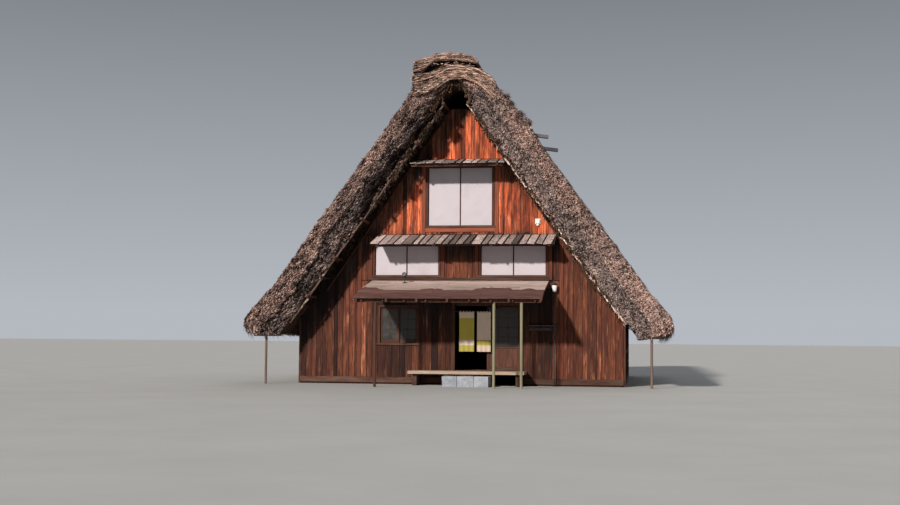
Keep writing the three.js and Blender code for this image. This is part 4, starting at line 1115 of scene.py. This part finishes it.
def pent(name, roof, end, wall, stands_for, slits=()):
    """Rough boards side by side down a slope, over a thin layer that closes all joints but the slits."""
    x0, x1, z, reach, drop = roof
    high = roof is UPPER_PENT
    slope = drop / reach
    normal_to = unit([0.0, end * slope, 1.0])
    lean = 0.0 if high else -0.07
    build = Build()

    def at(x, out, raised):
        return np.array([x, wall + end * out, z - out * slope - BOARD_DROP]) + normal_to * raised

    def board(a, b, near, far, low, thickness, shade=0.0, skew=0.0, tilt=0.0):
        outline = [at(a, near, low), at(b, near, low), at(b + skew, far, low + tilt),
                   at(a + skew, far, low - tilt)]
        build.slab(outline[::-1] if end > 0 else outline, normal_to * thickness, chamfer=0.003, shade=shade)

    edges = [x0 - lean]
    for stop in (*slits, x1):
        while edges[-1] < stop - 0.30:
            edges.append(edges[-1] + uniform(0.17, 0.28))
        edges.append(stop)
    for a, b in itertools.pairwise(edges):
        joint = random.choice([0.012, 0.022, 0.032] if high else [0.014, 0.022, 0.034])
        shade = random.choice([0.30, 0.50, 0.80, 1.0]) if high else around(0.52, 0.22, low=0.1)
        board(a + joint, b - joint, 0.002, reach - uniform(0.0, 0.05), 0.010 + uniform(0, 0.016),
              uniform(0.016, 0.024), shade, lean + uniform(-0.022, 0.022), uniform(-0.010, 0.010))
    skew = lean * COURSE_REACH / reach
    # Painted shade: the layer under the joints is made darkest, for the shade between the boards.
    for a, b in itertools.pairwise([x0 + 0.06, *slits, x1 - 0.04]):
        board(a + 0.010, b - 0.010, 0.004, COURSE_REACH, 0.0, 0.007, skew=skew)
        board(a + skew, b + skew, COURSE_REACH - 0.02, reach - 0.06, 0.0, 0.007)

    under = Build()
    out = reach - 0.17
    beam_z = z - BOARD_DROP - out * slope - (0.060 if high else 0.042)
    # Painted shade: the lower pent's beam is made darker, for the shade under its boards.
    under.level(x0 + 0.07, x1 - 0.07, wall + end * out, beam_z, 0.055, 0.060, shade=0.85 if high else 0.3)
    out = reach - 0.05
    for x in np.linspace(x0 + 0.21, x1 - 0.21, 2 if high else 4):
        under.beam((x, wall + end * 0.002, z - 0.065), (x, wall + end * out, z - 0.065 - out * slope), 0.07,
                   0.05, shade=0.4, slot=1)
    under.level(x0 + 0.05, x1 - 0.05, wall + end * 0.03, z - 0.09, 0.05, 0.08, shade=0.4)
    piece(f"{name}_boards", build, GREY_BOARDS, stands_for=[stands_for], slot="grey_boards")
    piece(f"{name}_timbers", under, TIMBER_X, TIMBER_Y, slot="dark_timber")


def awning():
    """Long boards in two pitches, pale above and brown below, with battens at their ends and edge."""
    build = Build()
    (split, split_z), (front, front_z) = AWNING_SPLIT, AWNING_FRONT
    slope = (AWNING_TOP_Z - split_z) / split
    lower_slope = (split_z - 0.02 - front_z) / (front - split)
    upwards = unit([0.0, -slope, 1.0])
    top_of = lambda out: AWNING_TOP_Z - out * slope - 0.024
    low_of = lambda out: front_z + (front - out) * lower_slope - 0.022

    def course(near, far, height, boards, slot, ragged):
        """Boards end to end, from near to far away from the wall; height gives the roof's height there."""
        cuts = np.sort(uniform(-AWNING_HALF + 0.5, AWNING_HALF - 0.5, boards - 1))
        for a, b in itertools.pairwise([-AWNING_HALF, *cuts, AWNING_HALF]):
            a, b = a + 0.002, b - 0.002
            x = np.linspace(b, a, max(2, int((b - a + 0.004) / 0.07)))
            place = xyz(x, 0, 0)
            out = far + ragged * (noise(place, 3.4, 31) + 0.35 * noise(place, 9.0, 32))
            outline = np.array([(a, FRONT - near, height(near)), (b, FRONT - near, height(near)),
                                *xyz(x, FRONT - out, height(out))])
            build.slab(outline + upwards * (0.004 + uniform(0, 0.004)), upwards * 0.016, chamfer=0.002,
                       shade=around(0.5, 0.22), slot=slot)

    course(0.96, 1.74, lambda out: top_of(out) - 0.002, 3, 1, 0.004)
    for i, (a, b) in enumerate(itertools.pairwise(np.linspace(1.72, 2.34, 4))):
        course(a - 0.04, b, lambda out: low_of(out) + 0.0032 * (4 - i), 2, 1, 0.004 if i < 2 else 0.008)
    pale = list(itertools.pairwise(np.linspace(0.003, 1.46, 6)))
    for a, b in reversed(pale):
        course(max(0.003, a - 0.05), b, lambda out: top_of(out) + 0.010 * (b - out) / (b - a), 3, 0,
               0.34 if (a, b) == pale[-1] else 0.006)
    for x in (-AWNING_HALF + 0.02, AWNING_HALF - 0.02):
        for near, far, height in ((0.01, 1.70, top_of), (1.60, 2.38, low_of)):
            build.beam((x, FRONT - near, height(near) - 0.02), (x, FRONT - far, height(far) - 0.02), 0.035,
                       0.045, shade=0.4, slot=1)
    build.level(-AWNING_HALF, AWNING_HALF, FRONT - 2.33, low_of(2.33) - 0.004, 0.022, 0.018, shade=0.1,
                slot=1)
    piece("awning_boards", build, AWNING_PALE, AWNING_BROWN,
          stands_for=["awning_roof_upper", "awning_roof_lower"], slot="awning_boards")


def awning_rafter_ends():
    """Round ends of the rafters that show under the awning's edge."""
    build = Build()
    for x in np.linspace(-2.3, 2.3, 9):
        build.pole(np.linspace((x, FRONT - 1.0, 2.52), (x, FRONT - 2.30, 2.27), 6), 0.024, sides=8,
                   wobble=0.004, shade=uniform(0.3, 0.7), seed=int(40 + 10 * x))
    piece("awning_poles", build, TIMBER_Y, smooth=True, slot="dark_timber")


# Windows


def screens(name, window, wall, end, stands_for):
    """White screens in their frame, with a bar between them."""
    x0, x1, z0, z1 = window
    build = Build()
    y = wall - end * 0.030
    middle = (x0 + x1) / 2
    for a, b in ((x0, middle), (middle, x1)):
        x, z = np.linspace(a + 0.011, b - 0.011, 24), np.linspace(z0 + 0.004, z1 - 0.004, 30)[:, None]
        edge = np.minimum(np.minimum(x - a, b - x), np.minimum(z - z0, z1 - z))
        grid = xyz(x, y, z)
        ripple = noise(grid.reshape(-1, 3) * (1, 1, 0.6), 4.0, 8).reshape(edge.shape)
        grid[..., 1] += 0.006 * ripple * np.clip(edge / 0.12, 0, 1)
        build.grid(grid, flip=end < 0)
        build.grid(grid - end * 0.016 * Y, flip=end > 0)
    build.upright(middle, y + end * 0.004, z0 + 0.002, z1 - 0.002, 0.030, 0.034, shade=0.4, slot=1)
    for x in (x0 + 0.008, x1 - 0.008):
        build.upright(x, y, z0 + 0.002, z1 - 0.002, 0.016, 0.026, shade=0.3, slot=1)
    for z in (z0 + 0.008, z1 - 0.008):
        build.level(x0 + 0.002, x1 - 0.002, y, z, 0.026, 0.016, shade=0.3, slot=2)
    piece(name, build, PAPER, TIMBER_Z, TIMBER_X, stands_for=stands_for, slot="paper_screen")


def window_frame(name, window, wall, end, stands_for):
    """Four squared timbers round a window."""
    x0, x1, z0, z1 = window
    build = Build()
    bar, depth = FRAME_BAR, 0.15
    y = wall + end * (0.030 - depth / 2)
    for x in (x0 - bar / 2, x1 + bar / 2):
        build.upright(x, y, z0 - bar, z1 + bar, bar, depth, shade=0.45)
    build.level(x0 - bar - 0.03, x1 + bar + 0.03, y + end * 0.012, z0 - bar / 2, depth + 0.02, bar, shade=0.5,
                slot=1)
    build.level(x0, x1, y, z1 + bar / 2, depth, bar, shade=0.4, slot=1)
    piece(name, build, TIMBER_Z, TIMBER_X, stands_for=stands_for, slot="dark_timber")


def lattice(name, x0, x1, z0, z1, y, body, stands_for, across=2, up=3, waist=None):
    """A glazed leaf: stiles, rails, thin glazing bars and a pane, with a boarded foot under the waist."""
    build = Build()
    stile, foot, depth = 0.055, 0.11, 0.035
    middle = y + depth / 2
    for x in (x0 + stile / 2, x1 - stile / 2):
        build.upright(x, middle, z0, z1, stile, depth)
    x0, x1, top = x0 + stile, x1 - stile, z1 - stile
    rails = [(z0 + foot / 2, foot), (z1 - stile / 2, stile)]
    glass_from = z0 + foot
    if waist is not None:
        rails.append((waist, stile))
        glass_from = waist + stile / 2
        for a, b in itertools.pairwise(np.linspace(x0, x1, 6)):
            build.panel(a + 0.001, b - 0.001, z0 + 0.10, waist, middle + 0.005, -0.010, chamfer=0.002,
                        shade=uniform(0.4, 0.7))
    for z, height in rails:
        build.level(x0, x1, middle, z, depth, height, shade=0.45, slot=1)
    for x in np.linspace(x0, x1, across + 1)[1:-1]:
        build.upright(x, middle, glass_from, top, 0.018, 0.022)
    for z in np.linspace(glass_from, top, up + 1)[1:-1]:
        build.level(x0, x1, middle, z, 0.022, 0.018, slot=1)
    build.panel(x0 - 0.004, x1 + 0.004, glass_from - 0.004, top + 0.004, middle + 0.002, -0.004,
                chamfer=0.0005, slot=2)
    piece(name, build, TIMBER_Z, TIMBER_X, GLASS, body=body, stands_for=stands_for, slot="dark_timber")


def windows():
    """Screens in a frame in the upper rows of both gables, and a sash window in the front's ground row."""
    for end, wall, where in GABLES:
        for which, window in (("upper", UPPER_WINDOW), ("left", LEFT_WINDOW), ("right", RIGHT_WINDOW)):
            screen_nodes, frame_nodes = [f"window_screen_{which}"], [f"window_frame_{which}"]
            if end > 0:
                screen_nodes, frame_nodes = [f"back_window_{which}"], []
            screens(f"{where}_screens_{which}", window, wall, end, screen_nodes)
            window_frame(f"{where}_frame_{which}", window, wall, end, frame_nodes)
    x0, x1, z0, z1 = GROUND_WINDOW
    window_frame("ground_frame", GROUND_WINDOW, FRONT, -1, ["ground_window"])
    half = (x0 + x1) / 2
    lattice("ground_sash_left", x0, half + 0.02, z0, z1, FRONT + 0.030, "building", [])
    lattice("ground_sash_right", half - 0.02, x1, z0, z1, FRONT + 0.068, "building", [])


# Entrance

# The curtain rod's height over the cloth, and how far the tabs' inner side is from the rod's middle
ROD_RISE, TAB_RADIUS = 0.0143, 0.0165


def leaves():
    """The sliding leaf in front of the fixed one, with their waists at one height."""
    low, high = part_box("door_leaf_sliding")
    waist = low.z + 0.36 * (high.z - low.z)
    lattice("sliding_leaf", low.x, high.x, low.z, high.z, low.y, "door", ["door_leaf_sliding"], 3, 4, waist)
    low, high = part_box("door_leaf_fixed")
    lattice("fixed_leaf", low.x, high.x, low.z, high.z, low.y, "building", ["door_leaf_fixed"], 3, 4, waist)


def deck():
    """Boards across the entrance on four bearers."""
    build = Build()
    low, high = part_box("entrance_deck")
    z = high.z - 0.08
    for a, b in itertools.pairwise(np.linspace(low.y, high.y, 7)):
        a, b = a + 0.002, b - 0.002
        outline = [(low.x + uniform(0, 0.01), a, z), (high.x - uniform(0, 0.01), a, z), (high.x, b, z),
                   (low.x, b, z)]
        build.slab(outline, (0, 0, 0.08), chamfer=0.005, shade=around(0.5, 0.2))
    for x in np.linspace(low.x + 0.18, high.x - 0.18, 4):
        build.beam((x, low.y + 0.12, 0.16), (x, high.y, 0.16), 0.12, 0.32, shade=0.3, slot=1)
    piece("deck", build, FLOOR_X, TIMBER_Y, stands_for=["entrance_deck"], slot="floor_timber")


def step():
    """Three rough stones side by side."""
    build = Build()
    low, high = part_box("entrance_step")
    _, cy = centre_of(low, high)
    for a, b in itertools.pairwise([low.x, low.x + 0.40, low.x + 0.86, high.x]):
        cx, x0, x1 = (a + b) / 2, a + 0.006, b - 0.006
        ring = np.array([(x0, low.y), (cx, low.y), (x1, low.y), (x1, cy), (x1, high.y), (cx, high.y),
                         (x0, high.y), (x0, cy)])
        rings = [xyz(*(ring + ((cx, cy) - ring) * pull).T, z)
                 for z, pull in ((low.z, 0.0), (0.14, -0.004), (high.z - 0.03, 0.0), (high.z, 0.022))]
        rings = shaken(rings, [(3.0, 0.010)], 3)
        rings[0, :, 2] = 0.0
        build.loft(rings, shade=uniform(0.3, 0.7))
    piece("stone_step", build, STONE, stands_for=["entrance_step"], slot="stone")


def curtain(name, bands, finish):
    """One cloth of the entrance curtain in three folds, and the tabs that carry it on its rod."""
    low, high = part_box(f"noren_{name}")
    width, length = high.x - low.x, high.z - low.z
    _, middle = centre_of(low, high)
    x, z = np.meshgrid(np.linspace(low.x, high.x, 60), np.linspace(high.z, low.z, 70))
    hang = (high.z - z) / length
    wave = 0.009 * (0.45 + 0.55 * hang) * np.sin((x - low.x) / width * 6 * math.pi + 0.6 * np.sin(3 * hang))
    wave += 0.004 * hang * noise(xyz(x, 0, z).reshape(-1, 3), 6, 4).reshape(x.shape)
    cloth = Build()
    cloth.grid(xyz(x, middle + wave, z))
    sheet = piece(f"noren_cloth_{name}", cloth, cloth_finish(finish, bands), smooth=True,
                  stands_for=[f"noren_{name}"], slot=finish)

    tabs = Build()
    rod = np.array([middle, high.z + ROD_RISE])
    ring = [np.array([math.cos(t), math.sin(t)]) for t in np.linspace(-0.2, math.pi + 0.2, 12)]
    for tab in np.linspace(low.x + 0.03, high.x - 0.03, 5):
        for a, b in itertools.pairwise(ring):
            near, far = rod + TAB_RADIUS * a, rod + TAB_RADIUS * b
            outline = [(tab - 0.02, *near), (tab + 0.02, *near), (tab + 0.02, *far), (tab - 0.02, *far)]
            tabs.slab(outline, unit([0.0, *(a + b)]) * 0.002, chamfer=0.0004)
    top = bands[-1][1]
    piece(f"noren_tabs_{name}", tabs, cloth_finish(f"{finish}_tabs", [(0.9, top), (1.0, top)]), slot=finish)


# Lamps and small things


def lamps():
    """The pole lamp at the awning's right end, and the lamp on the wall."""
    turns = np.arange(12) * 2 * math.pi / 12
    circle = xyz(np.cos(turns), np.sin(turns), 0)
    low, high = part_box("lamp_pole")
    x, y = centre_of(low, high)
    build = Build()
    build.pole(np.linspace((x, y, 0), (x, y, 2.62), 8), 0.016, sides=10)
    for slot, profile in ((1, [(0.024, 2.60), (0.052, 2.615), (0.070, 2.70), (0.078, 2.765), (0.074, 2.775)]),
                          (0, [(0.080, 2.772), (0.082, 2.785), (0.062, 2.800), (0.024, 2.812),
                               (0.006, 2.8149)])):
        build.loft([circle * r + (x, y, z) for r, z in profile], slot=slot)
    piece("pole_lantern", build, METAL, LAMP_GLASS, smooth=True, stands_for=["lamp_pole"], slot="cream_paint")

    low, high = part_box("wall_lamp")
    build = Build()
    z0 = high.z - 0.15
    build.panel(low.x, high.x, z0, high.z, high.y, -0.052, chamfer=0.008)
    build.panel(low.x + 0.02, high.x - 0.02, z0 + 0.02, high.z - 0.02, high.y - 0.05, -0.034, chamfer=0.010,
                slot=1)
    centre = (*centre_of(low, high), low.z + 0.042)
    build.loft([(circle * math.sin(a) - Z * math.cos(a)) * 0.042 + centre for a in np.linspace(0.15, 2.6, 8)],
               slot=1)
    piece("wall_light", build, CREAM, LAMP_GLASS, stands_for=["wall_lamp"], slot="cream_paint")


def wall_shelf():
    """A plank on two brackets on the wall, right of the awning's last post."""
    build = Build()
    x0, x1 = 1.95, 2.72
    # Painted shade: the plank and its rail are made dark, for the awning's shade over them.
    build.level(x0, x1, FRONT - 0.10, 1.66, 0.16, 0.030, shade=0.10)
    for x in (2.08, 2.58):
        build.beam((x, FRONT - 0.02, 1.52), (x, FRONT - 0.15, 1.64), 0.030, 0.030, up=X, shade=0.4, slot=1)
    build.level(x0, x1, FRONT - 0.035, 1.57, 0.035, 0.09, shade=0.05)
    piece("wall_shelf", build, GREY_BOARDS, TIMBER_Y, slot="grey_boards")


def roof_poles():
    """Two grey squared poles that stand out of the right slope."""
    for which in ("upper", "lower"):
        low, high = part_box(f"roof_pole_{which}")
        _, y = centre_of(low, high)
        build = Build()
        build.beam((low.x + 0.03, y, high.z - 0.042), (high.x - 0.012, y, low.z + 0.046), 0.085, 0.098,
                   chamfer=0.012)
        piece(f"roof_timber_{which}", build, ROOF_TIMBER, stands_for=[f"roof_pole_{which}"],
              slot="dark_timber")


def dress_nodes():
    """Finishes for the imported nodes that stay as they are."""
    starts = {"front_": RED_PLAIN, "back_": RED_PLAIN, "side_wall": RED_PLAIN, "ground_floor": FLOOR_PLAIN,
              "middle_floor": FLOOR_PLAIN, "upper_floor": FLOOR_PLAIN, "awning_post_middle": BAMBOO,
              "awning_post_right": BAMBOO, "awning_spotlight": METAL, "eave_post": PALE_POLE}
    for name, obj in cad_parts.items():
        if not obj.hide_render:
            finish = next((finish for start, finish in starts.items() if name.startswith(start)),
                          TIMBER_PLAIN)
            obj.data.materials.clear()
            obj.data.materials.append(finish)


# Camera, floor and light

CAMERA_PLACE = (4.96, -39.53, 1.28)
CAMERA_YAW, CAMERA_PITCH, CAMERA_ROLL = (math.radians(a) for a in (-8.6, 3.95, 0.48))
CAMERA_LENS, SENSOR = 50.0, 36.0
FLOOR_REACH = 400.0
# Suns: strength, angular size, colour, heading and elevation
SUNS = {"key": (4.4, 3, (1.0, 0.955, 0.90), 22, 25), "fill": (0.8, 70, (0.93, 0.96, 1.0), 205, 38)}
# The sky's colour by height, linear
SKY = ((0.02, (0.46, 0.485, 0.53, 1.0)), (0.36, (0.12, 0.133, 0.156, 1.0)))


def heading(yaw, pitch):
    """A direction turned clockwise from the back by yaw and raised by pitch."""
    return np.array([math.sin(yaw) * math.cos(pitch), math.cos(yaw) * math.cos(pitch), math.sin(pitch)])


def stand(name, data, *axes, place=(0, 0, 0)):
    """A new object at a place with its axes along these."""
    obj = bpy.data.objects.new(name, data)
    bpy.context.scene.collection.objects.link(obj)
    matrix = obj.matrix_world.copy()
    for row in range(3):
        matrix[row][:3] = [axis[row] for axis in axes]
        matrix[row][3] = place[row]
    obj.matrix_world = matrix
    return obj


def studio():
    """The camera, a wide floor, two suns and a sky."""
    forward = heading(CAMERA_YAW, CAMERA_PITCH)
    right = unit(np.cross(forward, Z))
    up = np.cross(right, forward)
    c, s = math.cos(CAMERA_ROLL), math.sin(CAMERA_ROLL)
    data = bpy.data.cameras.new("camera")
    data.lens, data.sensor_width, data.clip_end = CAMERA_LENS, SENSOR, 500.0
    camera = stand("camera", data, c * right + s * up, c * up - s * right, -forward, place=CAMERA_PLACE)
    bpy.context.scene.camera = camera

    mesh = bpy.data.meshes.new("floor")
    corners = [(-1, -1), (-1, 1), (1, 1), (1, -1)]
    mesh.from_pydata([(x * FLOOR_REACH, y * FLOOR_REACH, 0.0) for x, y in corners], [], [(0, 1, 2, 3)])
    mesh.materials.append(STUDIO_FLOOR)
    floor = stand("floor", mesh, X, Y, Z, place=(0, 0, -0.002))

    for name, (energy, softness, colour, yaw, elevation) in SUNS.items():
        sun = bpy.data.lights.new(name, "SUN")
        sun.energy, sun.angle, sun.color = energy, math.radians(softness), colour
        shine = heading(math.radians(yaw), -math.radians(elevation))
        across = unit(np.cross(shine, Z))
        stand(name, sun, across, np.cross(across, shine), -shine)

    world = bpy.data.worlds.new("studio")
    world.use_nodes = True
    tree = world.node_tree
    place, split, ramp = (tree.nodes.new("ShaderNode" + kind)
                          for kind in ("TexCoord", "SeparateXYZ", "ValToRGB"))
    tree.links.new(place.outputs["Generated"], split.inputs[0])
    tree.links.new(split.outputs["Z"], ramp.inputs["Fac"])
    tree.links.new(ramp.outputs["Color"], tree.nodes["Background"].inputs["Color"])
    for element, (at, colour) in zip(ramp.color_ramp.elements, SKY):
        element.position, element.color = at, colour
    bpy.context.scene.world = world
    bpy.context.scene.view_settings.view_transform = "Standard"


studio()
for side, name in SIDES:
    thatch(side, name)
cap("cap_lower", LOWER_CAP, 0.13, 3, 600, (0.38, 0.48), "ridge_cap_lower")
cap("cap_upper", UPPER_CAP, 0.09, 23, 350, (0.22, 0.0), "ridge_cap_upper")
cap_filling()
for gable in GABLES:
    overhang_timbers(*gable)
for gable in GABLES:
    gable_wall(*gable)
for side, name in SIDES:
    side_boards(side, name)
for end, wall, where in GABLES:
    pent(f"{where}_pent_high", UPPER_PENT, end, wall, f"{where}_pent_upper")
    pent(f"{where}_pent_low", MIDDLE_PENT, end, wall, f"{where}_pent_middle", PENT_SLITS[where])
awning()
awning_rafter_ends()
windows()
leaves()
deck()
step()
curtain("left", OLIVE_DYE_AND_LIGHT, "olive_cloth")
curtain("right", BEIGE_DYE_AND_LIGHT, "beige_cloth")
lamps()
wall_shelf()
roof_poles()
dress_nodes()
